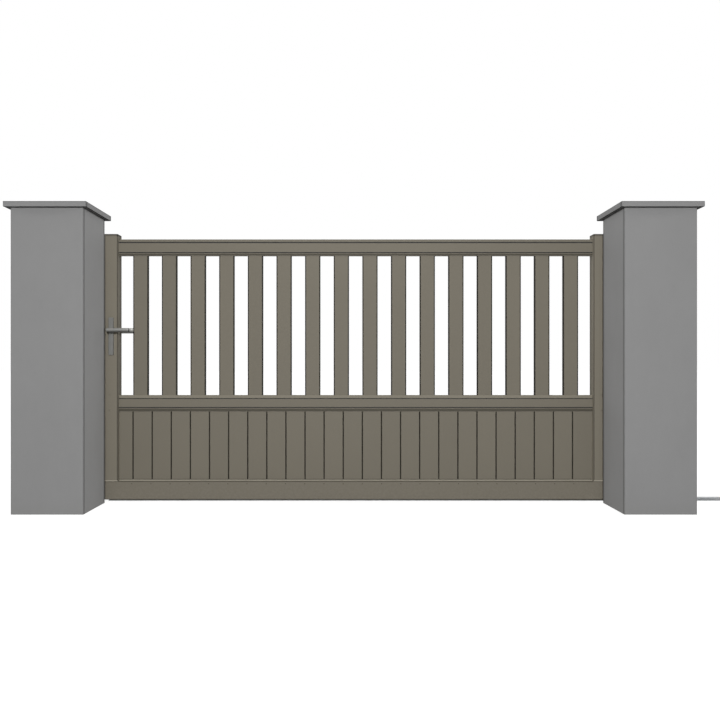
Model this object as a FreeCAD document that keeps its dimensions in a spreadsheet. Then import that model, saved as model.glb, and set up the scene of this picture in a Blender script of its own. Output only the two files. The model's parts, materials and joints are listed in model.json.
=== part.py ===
import FreeCAD, Part
import os
import re
import Sketcher
from FreeCAD import Vector

# Sliding driveway gate between two piers, in millimetres, closed.
# X runs along the driveway opening, the street side is -Y, +Z is up.
# The origin is the middle of the left pier's base, on the ground.

SIZES = {
    "opening_width": 3000,
    "pier_width": 404,
    "pier_depth": 280,
    "pier_height": 1702,
    "pier_cap_thickness": 30,
    "pier_cap_overhang": 27,
    "drip_inset": 9,
    "drip_width": 8,
    "drip_depth": 5,
    "leaf_gap": 45,
    "leaf_depth": 60,
    "leaf_drop": 73,
    "leaf_travel": 2800,
    "ground_clearance": 9,
    "lock_lap": 40,
    "tail_lap": 62,
    "stile_width": 100,
    "stile_wall": 2.5,
    "stile_corner": 2,
    "stile_cap_plate": 4,
    "stile_cap_plug": 18,
    "plug_fit": 0.3,
    "sill_height": 112,
    "sill_wall": 3,
    "wheel_slot": 34,
    "board_groove_depth": 15,
    "board_lip": 6,
    "end_plug_plate": 3,
    "plug_notch": 18,
    "rail_height": 100,
    "rail_depth": 30,
    "rail_wall": 2.5,
    "lip_height": 20,
    "lip_wall": 2.5,
    "top_rail_drop": 29,
    "middle_rail_top": 645,
    "slat_count": 16,
    "slat_end_gap": 85,
    "slat_width": 94,
    "slat_thickness": 16,
    "slat_wall": 1.5,
    "slat_corner": 3,
    "infill_fit": 0.3,
    "infill_top_gap": 1,
    "board_groove_count": 24,
    "boards_per_two_slats": 3,
    "board_groove_width": 8,
    "board_groove_cut": 4,
    "track_base_width": 44,
    "track_base_thickness": 4,
    "track_neck_width": 9,
    "track_head": 16,
    "track_hole": 9,
    "track_hole_spread": 30,
    "track_hole_rows": 4,
    "track_end_margin": 100,
    "wheel_inset": 200,
    "wheel_diameter": 80,
    "wheel_width": 28,
    "wheel_groove_width": 18,
    "wheel_clearance": 0.3,
    "axle_diameter": 15,
    "axle_clearance": 0.3,
    "carriage_length": 110,
    "carriage_plate": 4,
    "carriage_drop": 72,
    "stop_clearance": 5,
    "stop_plate": 8,
    "stop_width": 120,
    "stop_height": 95,
    "stop_foot": 90,
    "stop_hole": 11,
    "stop_hole_pitch_along": 50,
    "stop_hole_pitch_across": 84,
    "buffer_diameter": 40,
    "buffer_length": 20,
    "buffer_height": 60,
    "channel_overrun": 80,
    "channel_height": 40,
    "channel_wall": 3,
    "channel_drop": 105,
    "guide_roller_diameter": 24,
    "guide_roller_length": 30,
    "guide_side_play": 0.5,
    "guide_floor_gap": 5,
    "guide_setback": 40,
    "guide_pin_diameter": 10,
    "guide_pin_head": 18,
    "guide_pin_head_height": 7,
    "bracket_arm_width": 40,
    "bracket_arm_thickness": 12,
    "bracket_arm_gap": 15,
    "bracket_plate_width": 140,
    "bracket_plate_height": 125,
    "bracket_plate_thickness": 8,
    "bracket_plate_drop": 90,
    "bracket_hole": 9,
    "bracket_hole_pitch_along": 100,
    "bracket_hole_pitch_up": 90,
    "gusset_thickness": 8,
    "gusset_reach": 60,
    "gusset_rise": 30,
    "catch_clearance": 5,
    "catch_wall": 4,
    "catch_lap": 20,
    "catch_box_width": 60,
    "catch_box_wall": 3,
    "catch_base_level": 60,
    "catch_top_drop": 135,
    "catch_buffer_gap": 0.3,
    "catch_buffer_width": 30,
    "catch_buffer_height": 60,
    "catch_buffer_margin": 240,
    "catch_buffer_spacing": 340,
    "lever_setback": 61,
    "lever_level": 1040,
    "plate_width": 30,
    "plate_height": 228,
    "plate_thickness": 8,
    "plate_corner": 4,
    "plate_drop": 35,
    "lever_projection": 52,
    "neck_diameter": 16,
    "neck_play": 0.4,
    "neck_end_gap": 1,
    "grip_diameter": 24,
    "grip_heel": 8,
    "grip_length": 124.5,
    "ring_width": 3,
    "ring_diameter": 19,
    "knob_length": 24,
    "knob_chamfer": 3,
    "heel_chamfer": 4,
    "spindle_side": 8,
    "spindle_play": 0.1,
    "socket_depth": 12,
    "spindle_hole": 20,
    "lock_face_width": 24,
    "lock_face_height": 240,
    "lock_face_thickness": 3,
    "lock_case_depth": 85,
    "lock_case_height": 165,
    "lock_case_thickness": 16,
    "lock_case_drop": 40,
    "lock_case_play": 0.3,
    "lock_hub_hole": 12,
    "lock_bolt_slot": 34,
    "lock_bolt_slot_width": 10,
    "lock_bolt_slot_depth": 20,
    "lock_bolt_drop": 75,
}

# How near two coordinates must be to count as one place
CLOSE = 0.01

# Places worked out from the sizes, written as expressions of the sheet's cells
OPENING_LEFT = "(pier_width / 2)"
OPENING_RIGHT = f"({OPENING_LEFT} + opening_width)"
PIER_SPACING = "(opening_width + pier_width)"
PIER_BACK = "(pier_depth / 2)"
LEAF_FRONT = f"({PIER_BACK} + leaf_gap)"
LEAF_MID = f"({LEAF_FRONT} + leaf_depth / 2)"
LEAF_BACK = f"({LEAF_FRONT} + leaf_depth)"
LEAF_LEFT = f"({OPENING_LEFT} - lock_lap)"
LEAF_RIGHT = f"({OPENING_RIGHT} + tail_lap)"
LEAF_LENGTH = f"({LEAF_RIGHT} - {LEAF_LEFT})"
LEAF_TOP = "(pier_height - leaf_drop)"
SILL_TOP = "(ground_clearance + sill_height)"
DAYLIGHT_LEFT = f"({LEAF_LEFT} + stile_width)"
DAYLIGHT_RIGHT = f"({LEAF_RIGHT} - stile_width)"
DAYLIGHT = f"({DAYLIGHT_RIGHT} - {DAYLIGHT_LEFT})"
GROOVE_HALF = "(slat_thickness / 2 + infill_fit)"
LIP_HALF = f"({GROOVE_HALF} + lip_wall)"
TOP_RAIL_BASE = f"({LEAF_TOP} - top_rail_drop - rail_height)"
MIDDLE_RAIL_BASE = "(middle_rail_top - rail_height)"
SLAT_SEAT = "(middle_rail_top - lip_height)"
SLAT_ROOF = f"({TOP_RAIL_BASE} + lip_height)"
SLAT_LENGTH = f"({SLAT_ROOF} - {SLAT_SEAT} - infill_top_gap)"
SLAT_PITCH = f"(({DAYLIGHT} - 2 * slat_end_gap - slat_width) / (slat_count - 1))"
BOARD_SEAT = f"({SILL_TOP} - board_groove_depth)"
BOARD_ROOF = f"({MIDDLE_RAIL_BASE} + lip_height)"
BOARD_HEIGHT = f"({BOARD_ROOF} - {BOARD_SEAT} - infill_top_gap)"
BOARD_PITCH = f"({SLAT_PITCH} * 2 / boards_per_two_slats)"
SILL_INSIDE = "(leaf_depth / 2 - sill_wall)"
SILL_CEILING = "(sill_height - board_groove_depth - lip_wall)"
TRACK_HEAD_LEVEL = "(track_base_thickness + track_head / 2)"
TRACK_LEFT = OPENING_LEFT
TRACK_RIGHT = f"({LEAF_RIGHT} + leaf_travel + stop_clearance + buffer_length)"
TRACK_LENGTH = f"({TRACK_RIGHT} - {TRACK_LEFT})"
TRACK_HOLE_PITCH = f"(({TRACK_LENGTH} - 2 * track_end_margin) / (track_hole_rows - 1))"
WHEEL_GROOVE_FLOOR = "((wheel_diameter - wheel_groove_width) / 2)"
WHEEL_LEVEL = f"({TRACK_HEAD_LEVEL} + {WHEEL_GROOVE_FLOOR} + sqrt(2) * (track_head / 2 + wheel_clearance))"
WHEEL_SPACING = f"({LEAF_LENGTH} - 2 * wheel_inset)"
CHANNEL_INSIDE = "(guide_roller_diameter + 2 * guide_side_play)"
CHANNEL_OUTSIDE = f"({CHANNEL_INSIDE} + 2 * channel_wall)"
CHANNEL_MID = f"({LEAF_BACK} + {CHANNEL_OUTSIDE} / 2)"
CHANNEL_LEVEL = f"({LEAF_TOP} - channel_drop)"
GUIDE_X = f"({LEAF_RIGHT} + guide_setback)"
ROLLER_BASE = f"({CHANNEL_LEVEL} + channel_wall + guide_floor_gap)"
ROLLER_TOP = f"({ROLLER_BASE} + guide_roller_length)"
ARM_LEVEL = f"({LEAF_TOP} + bracket_arm_gap)"
ARM_REACH = f"({CHANNEL_MID} + bracket_arm_width / 2 - {PIER_BACK})"
LEVER_X = f"({LEAF_LEFT} + lever_setback)"
LOCK_FACE = f"({LEAF_LEFT} - lock_face_thickness)"
CATCH_WEB = f"({LOCK_FACE} - catch_clearance)"
CATCH_LENGTH = f"({LEAF_TOP} - catch_top_drop - catch_base_level)"

doc = FreeCAD.newDocument("sliding_gate")
sheet = doc.addObject("Spreadsheet::Sheet", "Sizes")
for row, (alias, amount) in enumerate(SIZES.items(), 1):
    sheet.set(f"A{row}", alias)
    sheet.set(f"B{row}", str(amount))
    sheet.setAlias(f"B{row}", alias)
doc.recompute()

nodes = []


def cells(text):
    """Write each size's name as a reference to its cell, and leave functions as they are."""
    return re.sub(r"\b([a-z][a-z_]*)\b(?!\()", r"Sizes.\1", text)


def number(text):
    """Work out an expression of the sizes."""
    return float(sheet.evalExpression(cells(text)))


def bind(item, prop, text):
    """Tie a property of an object to an expression of the sizes."""
    item.setExpression(prop, cells(text))


def new_body(name, x="0", y="0", z="0"):
    """Start a sub-part whose own origin stands at x, y, z."""
    body = doc.addObject("PartDesign::Body", name)
    body.Label = name
    body.AllowCompound = True
    for axis, place in zip("xyz", (x, y, z)):
        bind(body, f"Placement.Base.{axis}", place)
    nodes.append(body)
    return body


def origin_plane(body, role):
    return next(item for item in body.Origin.OriginFeatures if item.Role == role)


def new_sketch(body, plane, offset="0"):
    """Lay a sketch on one of the body's own origin planes, moved along its normal by offset."""
    sketch = body.newObject("Sketcher::SketchObject", f"{body.Name}_sketch")
    sketch.AttachmentSupport = (origin_plane(body, plane), [""])
    sketch.MapMode = "FlatFace"
    bind(sketch, "AttachmentOffset.Base.z", offset)
    return sketch


def fix_point(sketch, line, end, x, y):
    """Hold one point of a sketch at x, y from the sketch's origin."""
    for kind, place in (("DistanceX", x), ("DistanceY", y)):
        index = sketch.addConstraint(Sketcher.Constraint(kind, -1, 1, line, end, number(place)))
        bind(sketch, f"Constraints[{index}]", place)


def outline(sketch, points):
    """Draw a closed loop of straight edges through points given as pairs of expressions."""
    spots = [Vector(number(x), number(y), 0) for x, y in points]
    first = sketch.GeometryCount
    for index, spot in enumerate(spots):
        sketch.addGeometry(Part.LineSegment(spot, spots[(index + 1) % len(spots)]), False)
    for index, (x, y) in enumerate(points):
        line = first + index
        after = first + (index + 1) % len(points)
        sketch.addConstraint(Sketcher.Constraint("Coincident", line, 2, after, 1))
        fix_point(sketch, line, 1, x, y)


def rectangle(sketch, left, bottom, right, top):
    outline(sketch, [(left, bottom), (right, bottom), (right, top), (left, top)])


def centred(sketch, width, height):
    """Draw a rectangle about the sketch's origin."""
    rectangle(sketch, f"-{width} / 2", f"-{height} / 2", f"{width} / 2", f"{height} / 2")


def circle(sketch, x, y, diameter):
    centre = Vector(number(x), number(y), 0)
    line = sketch.addGeometry(Part.Circle(centre, Vector(0, 0, 1), number(diameter) / 2), False)
    fix_point(sketch, line, 3, x, y)
    index = sketch.addConstraint(Sketcher.Constraint("Diameter", line, number(diameter)))
    bind(sketch, f"Constraints[{index}]", diameter)


def pad(body, sketch, length, middle=False, back=False):
    """Add a sketch's area, one way along its normal or half to each side."""
    feature = body.newObject("PartDesign::Pad", f"{body.Name}_pad")
    feature.Profile = sketch
    feature.Midplane = middle
    feature.Reversed = back
    bind(feature, "Length", length)
    return feature


def cut(body, sketch, length, back=False):
    """Take a sketch's area away, against its normal, or along it when back is set."""
    feature = body.newObject("PartDesign::Pocket", f"{body.Name}_cut")
    feature.Profile = sketch
    feature.Reversed = back
    bind(feature, "Length", length)
    return feature


def cut_through(body, sketch):
    """Take a sketch's area away through the whole body, to both sides."""
    feature = body.newObject("PartDesign::Pocket", f"{body.Name}_cut")
    feature.Profile = sketch
    feature.Type = "ThroughAll"
    feature.Midplane = True
    return feature


def turn(body, sketch, axis):
    """Turn a sketch once round one of its own axes."""
    feature = body.newObject("PartDesign::Revolution", f"{body.Name}_turn")
    feature.Profile = sketch
    feature.ReferenceAxis = (sketch, [axis])
    feature.Angle = 360
    return feature


def row_of(body, originals, spacing, count):
    """Repeat features along the body's X axis at a fixed spacing."""
    pattern = body.newObject("PartDesign::LinearPattern", f"{body.Name}_row")
    pattern.Originals = originals
    pattern.Direction = (origin_plane(body, "X_Axis"), [""])
    pattern.Mode = "Spacing"
    bind(pattern, "Offset", spacing)
    bind(pattern, "Occurrences", count)
    body.Tip = pattern
    return pattern


def round_edges(body, radius, wanted):
    """Round the edges of the body's last feature that the test wanted picks."""
    doc.recompute()
    tip = body.Tip
    names = [f"Edge{index}" for index, edge in enumerate(tip.Shape.Edges, 1) if wanted(edge)]
    feature = body.newObject("PartDesign::Fillet", f"{body.Name}_round")
    feature.Base = (tip, names)
    bind(feature, "Radius", radius)
    return feature


def at_corners(width, depth, along, across, up):
    """Make a test for the edges along one axis at the corners of a section centred on the body's origin."""
    reach = {along: number(width) / 2, across: number(depth) / 2}

    def wanted(edge):
        ends = [vertex.Point for vertex in edge.Vertexes]
        if len(ends) != 2 or abs(getattr(ends[0], up) - getattr(ends[1], up)) < CLOSE:
            return False
        spots = [(abs(getattr(end, axis)), size) for end in ends for axis, size in reach.items()]
        return all(abs(spot - size) < CLOSE for spot, size in spots)

    return wanted


# Masonry

def pier(name, x):
    body = new_body(name, x)
    sketch = new_sketch(body, "XY_Plane")
    centred(sketch, "pier_width", "pier_depth")
    pad(body, sketch, "pier_height")


def pier_cap(name, x):
    """Coping slab with a drip groove round its underside."""
    body = new_body(name, x, "0", "pier_height")
    slab = new_sketch(body, "XY_Plane")
    centred(slab, "(pier_width + 2 * pier_cap_overhang)", "(pier_depth + 2 * pier_cap_overhang)")
    pad(body, slab, "pier_cap_thickness")
    drip = new_sketch(body, "XY_Plane")
    for inset in ("drip_inset", "(drip_inset + drip_width)"):
        reach = f"2 * (pier_cap_overhang - {inset})"
        centred(drip, f"(pier_width + {reach})", f"(pier_depth + {reach})")
    cut(body, drip, "drip_depth", back=True)


# Track on the ground, its stop and the wheels' carriages

def ground_track():
    """Round head on a flat base, with pairs of fixing holes."""
    body = new_body("ground_rail", TRACK_LEFT, LEAF_MID)
    base = new_sketch(body, "YZ_Plane")
    rectangle(base, "-track_base_width / 2", "0", "track_base_width / 2", "track_base_thickness")
    pad(body, base, TRACK_LENGTH)
    head = new_sketch(body, "YZ_Plane")
    circle(head, "0", TRACK_HEAD_LEVEL, "track_head")
    pad(body, head, TRACK_LENGTH)
    neck = new_sketch(body, "YZ_Plane")
    half_neck = "track_neck_width / 2"
    rectangle(neck, f"-{half_neck}", "track_base_thickness / 2", half_neck, TRACK_HEAD_LEVEL)
    pad(body, neck, TRACK_LENGTH)
    holes = new_sketch(body, "XY_Plane")
    for side in ("-", ""):
        circle(holes, "track_end_margin", f"{side}track_hole_spread / 2", "track_hole")
    first = cut(body, holes, "track_base_thickness", back=True)
    row_of(body, [first], TRACK_HOLE_PITCH, "track_hole_rows")


def open_stop():
    """Angle bracket across the track's end, with a web behind its upright."""
    body = new_body("open_stop", TRACK_RIGHT, LEAF_MID)
    foot = new_sketch(body, "XY_Plane")
    rectangle(foot, "0", "-stop_width / 2", "stop_foot", "stop_width / 2")
    pad(body, foot, "stop_plate")
    upright_plate = new_sketch(body, "XY_Plane")
    rectangle(upright_plate, "0", "-stop_width / 2", "stop_plate", "stop_width / 2")
    pad(body, upright_plate, "stop_height")
    web = new_sketch(body, "XZ_Plane")
    half_plate = "stop_plate / 2"
    web_top = "stop_height - stop_plate"
    outline(web, [(half_plate, half_plate), ("stop_foot", half_plate), ("stop_foot", "stop_plate"),
                  ("stop_plate", web_top), (half_plate, web_top)])
    pad(body, web, "stop_plate", middle=True)
    holes = new_sketch(body, "XY_Plane")
    middle = "(stop_foot + stop_plate) / 2"
    for along in ("-", "+"):
        hole_x = f"{middle} {along} stop_hole_pitch_along / 2"
        for across in ("-", ""):
            circle(holes, hole_x, f"{across}stop_hole_pitch_across / 2", "stop_hole")
    cut(body, holes, "stop_plate", back=True)


def stop_buffer():
    body = new_body("stop_buffer", f"{TRACK_RIGHT} - buffer_length", LEAF_MID, "buffer_height")
    face = new_sketch(body, "YZ_Plane")
    circle(face, "0", "0", "buffer_diameter")
    pad(body, face, "buffer_length")


def wheels():
    """Two wheels whose square V grooves ride on the track's head."""
    body = new_body("wheels", f"{LEAF_LEFT} + wheel_inset", LEAF_MID, WHEEL_LEVEL)
    half = "wheel_width / 2"
    bore = "axle_diameter / 2 + axle_clearance"
    rim = "wheel_diameter / 2"
    groove = "wheel_groove_width / 2"
    section = new_sketch(body, "YZ_Plane")
    outline(section, [(f"-{half}", bore), (half, bore), (half, rim), (groove, rim), ("0", WHEEL_GROOVE_FLOOR),
                      (f"-{groove}", rim), (f"-{half}", rim)])
    turned = turn(body, section, "H_Axis")
    row_of(body, [turned], WHEEL_SPACING, "2")


def carriages():
    """Folded brackets inside the bottom rail, each with its wheel's axle."""
    body = new_body("wheel_carriages", f"{LEAF_LEFT} + wheel_inset", LEAF_MID, "ground_clearance")
    side = f"({SILL_INSIDE} - plug_fit)"
    low = f"{SILL_CEILING} - carriage_drop"
    fold = new_sketch(body, "YZ_Plane")
    outline(fold, [(f"-{side}", low), (f"-{side} + carriage_plate", low),
                   (f"-{side} + carriage_plate", f"{SILL_CEILING} - carriage_plate"),
                   (f"{side} - carriage_plate", f"{SILL_CEILING} - carriage_plate"),
                   (f"{side} - carriage_plate", low), (side, low), (side, SILL_CEILING),
                   (f"-{side}", SILL_CEILING)])
    folded = pad(body, fold, "carriage_length", middle=True)
    axle = new_sketch(body, "XZ_Plane")
    circle(axle, "0", f"{WHEEL_LEVEL} - ground_clearance", "axle_diameter")
    pin = pad(body, axle, f"2 * {side}", middle=True)
    row_of(body, [folded, pin], WHEEL_SPACING, "2")


# Leaf: bottom rail, stiles and rails

def bottom_rail():
    """Box section open along its underside for the wheels, with a grooved top for the boards."""
    body = new_body("bottom_rail", f"{LEAF_LEFT} + end_plug_plate", LEAF_MID, "ground_clearance")
    half = "leaf_depth / 2"
    slot = "wheel_slot / 2"
    roof = "sill_height - sill_wall"
    lip_top = "sill_height + board_lip"
    right_side = [(slot, "0"), (half, "0"), (half, "sill_height"), (LIP_HALF, "sill_height"),
                  (LIP_HALF, lip_top), (GROOVE_HALF, lip_top),
                  (GROOVE_HALF, "sill_height - board_groove_depth")]
    left_side = [(f"-{x}", y) for x, y in reversed(right_side)]
    inside_left = [(f"-{slot}", "sill_wall"), (f"-{SILL_INSIDE}", "sill_wall"), (f"-{SILL_INSIDE}", roof),
                   (f"-{LIP_HALF}", roof), (f"-{LIP_HALF}", SILL_CEILING)]
    inside_right = [(x.lstrip("-"), y) for x, y in reversed(inside_left)]
    section = new_sketch(body, "YZ_Plane")
    outline(section, right_side + left_side + inside_left + inside_right)
    pad(body, section, f"{LEAF_LENGTH} - 2 * end_plug_plate")
    seats = new_sketch(body, "XZ_Plane")
    first_seat = "(stile_width - end_plug_plate)"
    length = f"({LEAF_LENGTH} - 2 * end_plug_plate)"
    rectangle(seats, "0", "sill_height", first_seat, lip_top)
    rectangle(seats, f"{length} - {first_seat}", "sill_height", length, lip_top)
    cut_through(body, seats)


def end_plugs():
    """Plates that close both ends of the bottom rail, notched over the track."""
    body = new_body("end_plugs", LEAF_LEFT, LEAF_MID, "ground_clearance")
    half = "leaf_depth / 2"
    slot = "wheel_slot / 2"
    face = new_sketch(body, "YZ_Plane")
    outline(face, [(slot, "0"), (half, "0"), (half, "sill_height"), (f"-{half}", "sill_height"),
                   (f"-{half}", "0"), (f"-{slot}", "0"), (f"-{slot}", "plug_notch"), (slot, "plug_notch")])
    plate = pad(body, face, "end_plug_plate")
    row_of(body, [plate], f"{LEAF_LENGTH} - end_plug_plate", "2")


def stile(name, x):
    """Rectangular tube that stands on the bottom rail, its own origin at the middle of its foot."""
    body = new_body(name, x, LEAF_MID, SILL_TOP)
    section = new_sketch(body, "XY_Plane")
    centred(section, "stile_width", "leaf_depth")
    centred(section, "(stile_width - 2 * stile_wall)", "(leaf_depth - 2 * stile_wall)")
    pad(body, section, f"{LEAF_TOP} - stile_cap_plate - {SILL_TOP}")
    round_edges(body, "stile_corner", at_corners("stile_width", "leaf_depth", "x", "y", "z"))
    return body


def lock_stile():
    """Stile with the lock's slot in its edge and the spindle's hole through both faces."""
    body = stile("lock_stile", f"{LEAF_LEFT} + stile_width / 2")
    lever = f"lever_level - {SILL_TOP}"
    hole = new_sketch(body, "XZ_Plane")
    circle(hole, "lever_setback - stile_width / 2", lever, "spindle_hole")
    cut_through(body, hole)
    slot = new_sketch(body, "YZ_Plane", "-stile_width / 2")
    half = "(lock_case_thickness / 2 + lock_case_play)"
    middle = f"({lever} - lock_case_drop)"
    tall = "(lock_case_height / 2 + lock_case_play)"
    rectangle(slot, f"-{half}", f"{middle} - {tall}", half, f"{middle} + {tall}")
    cut(body, slot, "stile_wall", back=True)


def stile_caps():
    """Plastic caps, one in the top of each stile."""
    body = new_body("stile_caps", f"{LEAF_LEFT} + stile_width / 2", LEAF_MID, f"{LEAF_TOP} - stile_cap_plate")
    plate = new_sketch(body, "XY_Plane")
    centred(plate, "stile_width", "leaf_depth")
    top = pad(body, plate, "stile_cap_plate")
    plug = new_sketch(body, "XY_Plane")
    inset = "2 * (stile_wall + plug_fit)"
    centred(plug, f"(stile_width - {inset})", f"(leaf_depth - {inset})")
    below = pad(body, plug, "stile_cap_plug", back=True)
    row_of(body, [top, below], f"{LEAF_LENGTH} - stile_width", "2")


def rail(name, z, open_above):
    """Box rail with a channel for the infill below it, and above it a like channel or a closed rib."""
    body = new_body(name, DAYLIGHT_LEFT, LEAF_MID, z)
    half = "rail_depth / 2"
    box_low = "lip_height"
    box_high = "(rail_height - lip_height)"
    lower = [(half, box_low), (LIP_HALF, box_low), (LIP_HALF, "0"), (GROOVE_HALF, "0"),
             (GROOVE_HALF, box_low)]
    if open_above:
        upper = [(GROOVE_HALF, box_high), (GROOVE_HALF, "rail_height"), (LIP_HALF, "rail_height"),
                 (LIP_HALF, box_high), (half, box_high)]
    else:
        upper = [(LIP_HALF, "rail_height"), (LIP_HALF, box_high), (half, box_high)]
    right_side = upper + lower
    left_side = [(f"-{x}", y) for x, y in reversed(right_side)]
    section = new_sketch(body, "YZ_Plane")
    outline(section, right_side + left_side)
    inside = f"({half} - rail_wall)"
    rectangle(section, f"-{inside}", f"{box_low} + rail_wall", inside, f"{box_high} - rail_wall")
    if not open_above:
        rectangle(section, f"-{GROOVE_HALF}", box_high, GROOVE_HALF, "rail_height - lip_wall")
    pad(body, section, DAYLIGHT)


# Infill

def slat(index):
    """Flat tube that stands in the middle rail's channel and reaches into the top rail's."""
    x = f"{DAYLIGHT_LEFT} + slat_end_gap + {index} * {SLAT_PITCH} + slat_width / 2"
    body = new_body(f"slat_{index + 1:02d}", x, LEAF_MID, SLAT_SEAT)
    section = new_sketch(body, "XY_Plane")
    centred(section, "slat_width", "slat_thickness")
    centred(section, "(slat_width - 2 * slat_wall)", "(slat_thickness - 2 * slat_wall)")
    pad(body, section, SLAT_LENGTH)
    round_edges(body, "slat_corner", at_corners("slat_width", "slat_thickness", "x", "y", "z"))


def slat_spacers():
    """Filler strips in both channels, between the slats and at the ends of their row."""
    body = new_body("slat_spacers", DAYLIGHT_LEFT, LEAF_MID)
    half = "slat_thickness / 2"
    levels = (SLAT_SEAT, TOP_RAIL_BASE)
    between = []
    for level in levels:
        strip = new_sketch(body, "XY_Plane", level)
        rectangle(strip, "slat_end_gap + slat_width + infill_fit", f"-{half}",
                  f"slat_end_gap + {SLAT_PITCH} - infill_fit", half)
        between.append(pad(body, strip, "lip_height"))
    row_of(body, between, SLAT_PITCH, "slat_count - 1")
    for level in levels:
        ends = new_sketch(body, "XY_Plane", level)
        rectangle(ends, "infill_fit", f"-{half}", "slat_end_gap - infill_fit", half)
        last = f"{DAYLIGHT} - slat_end_gap + infill_fit"
        rectangle(ends, last, f"-{half}", f"{DAYLIGHT} - infill_fit", half)
        pad(body, ends, "lip_height")


def lower_panel():
    """Boards between the bottom and middle rails, as one sheet grooved on both faces."""
    body = new_body("lower_panel", DAYLIGHT_LEFT, LEAF_MID, BOARD_SEAT)
    half = "slat_thickness / 2"
    sheet_plan = new_sketch(body, "XY_Plane")
    rectangle(sheet_plan, "infill_fit", f"-{half}", f"{DAYLIGHT} - infill_fit", half)
    pad(body, sheet_plan, BOARD_HEIGHT)
    notch = new_sketch(body, "XY_Plane")
    for side in ("-", ""):
        outer = f"{side}({half} + board_groove_cut)"
        outline(notch, [("slat_end_gap - board_groove_width", outer),
                        ("slat_end_gap + board_groove_width", outer),
                        ("slat_end_gap", f"{side}({half} - board_groove_cut)")])
    first = cut_through(body, notch)
    row_of(body, [first], BOARD_PITCH, "board_groove_count")


# Top guide

def guide_channel():
    """U section, open upwards, along the back of the leaf."""
    body = new_body("guide_channel", LEAF_LEFT, CHANNEL_MID, CHANNEL_LEVEL)
    out = f"{CHANNEL_OUTSIDE} / 2"
    inside = f"{CHANNEL_INSIDE} / 2"
    section = new_sketch(body, "YZ_Plane")
    outline(section, [(f"-{out}", "0"), (out, "0"), (out, "channel_height"), (inside, "channel_height"),
                      (inside, "channel_wall"), (f"-{inside}", "channel_wall"),
                      (f"-{inside}", "channel_height"), (f"-{out}", "channel_height")])
    pad(body, section, f"{LEAF_LENGTH} + channel_overrun")


def guide_bracket():
    """Wall plate on the right pier's back with an arm over the leaf."""
    body = new_body("guide_bracket", GUIDE_X, PIER_BACK, ARM_LEVEL)
    plate = new_sketch(body, "XZ_Plane")
    half = "bracket_plate_width / 2"
    low = "-bracket_plate_drop"
    rectangle(plate, f"-{half}", low, half, f"{low} + bracket_plate_height")
    pad(body, plate, "bracket_plate_thickness", back=True)
    arm = new_sketch(body, "XY_Plane")
    half_arm = "bracket_arm_width / 2"
    rectangle(arm, f"-{half_arm}", "bracket_plate_thickness / 2", half_arm, ARM_REACH)
    pad(body, arm, "bracket_arm_thickness")
    gusset = new_sketch(body, "YZ_Plane")
    root = "bracket_plate_thickness"
    tip = f"{root} + gusset_reach"
    peak = "bracket_arm_thickness + gusset_rise - gusset_thickness"
    outline(gusset, [(f"{root} / 2", "bracket_arm_thickness / 2"), (tip, "bracket_arm_thickness / 2"),
                     (tip, "bracket_arm_thickness"), (root, peak), (f"{root} / 2", peak)])
    pad(body, gusset, "gusset_thickness", middle=True)
    anchors = new_sketch(body, "XZ_Plane")
    for up in ("-", "+"):
        hole_z = f"{low} + bracket_plate_height / 2 {up} bracket_hole_pitch_up / 2"
        for along in ("-", ""):
            circle(anchors, f"{along}bracket_hole_pitch_along / 2", hole_z, "bracket_hole")
    cut(body, anchors, "bracket_plate_thickness")
    pin_hole = new_sketch(body, "XY_Plane")
    circle(pin_hole, "0", f"{CHANNEL_MID} - {PIER_BACK}", "guide_pin_diameter + 2 * plug_fit")
    cut(body, pin_hole, "bracket_arm_thickness", back=True)


def guide_pin():
    """Headed pin that hangs the guide roller from the bracket's arm."""
    body = new_body("guide_pin", GUIDE_X, CHANNEL_MID, ROLLER_BASE)
    shank = new_sketch(body, "XY_Plane")
    circle(shank, "0", "0", "guide_pin_diameter")
    arm_top = f"({ARM_LEVEL} + bracket_arm_thickness - {ROLLER_BASE})"
    pad(body, shank, f"{arm_top} + guide_pin_head_height")
    collar = new_sketch(body, "XY_Plane", f"{ROLLER_TOP} - {ROLLER_BASE} + wheel_clearance")
    circle(collar, "0", "0", "guide_pin_head")
    pad(body, collar, f"{ARM_LEVEL} - {ROLLER_TOP} - wheel_clearance")
    head = new_sketch(body, "XY_Plane", arm_top)
    circle(head, "0", "0", "guide_pin_head")
    pad(body, head, "guide_pin_head_height")


def guide_roller():
    body = new_body("guide_roller", GUIDE_X, CHANNEL_MID, ROLLER_BASE)
    ring = new_sketch(body, "XY_Plane")
    circle(ring, "0", "0", "guide_roller_diameter")
    circle(ring, "0", "0", "guide_pin_diameter + 2 * axle_clearance")
    pad(body, ring, "guide_roller_length")


# Lock, catch and lever handles

def catch_channel():
    """Upright section on the left pier's back that takes the lock stile's edge."""
    body = new_body("catch_channel", CATCH_WEB, PIER_BACK, "catch_base_level")
    lap = f"({LEAF_LEFT} - {CATCH_WEB} + catch_lap)"
    front = "(leaf_gap - catch_clearance)"
    back = "(leaf_gap + leaf_depth + catch_clearance)"
    box_left = f"({lap} - catch_box_width)"
    section = new_sketch(body, "XY_Plane")
    outside = f"{back} + catch_wall"
    outline(section, [(box_left, "0"), (lap, "0"), (lap, front), ("0", front), ("0", back), (lap, back),
                      (lap, outside), ("-catch_wall", outside), ("-catch_wall", front), (box_left, front)])
    rectangle(section, f"{box_left} + catch_box_wall", "catch_box_wall", f"{lap} - catch_box_wall",
              f"{front} - catch_wall")
    pad(body, section, CATCH_LENGTH)


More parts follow.
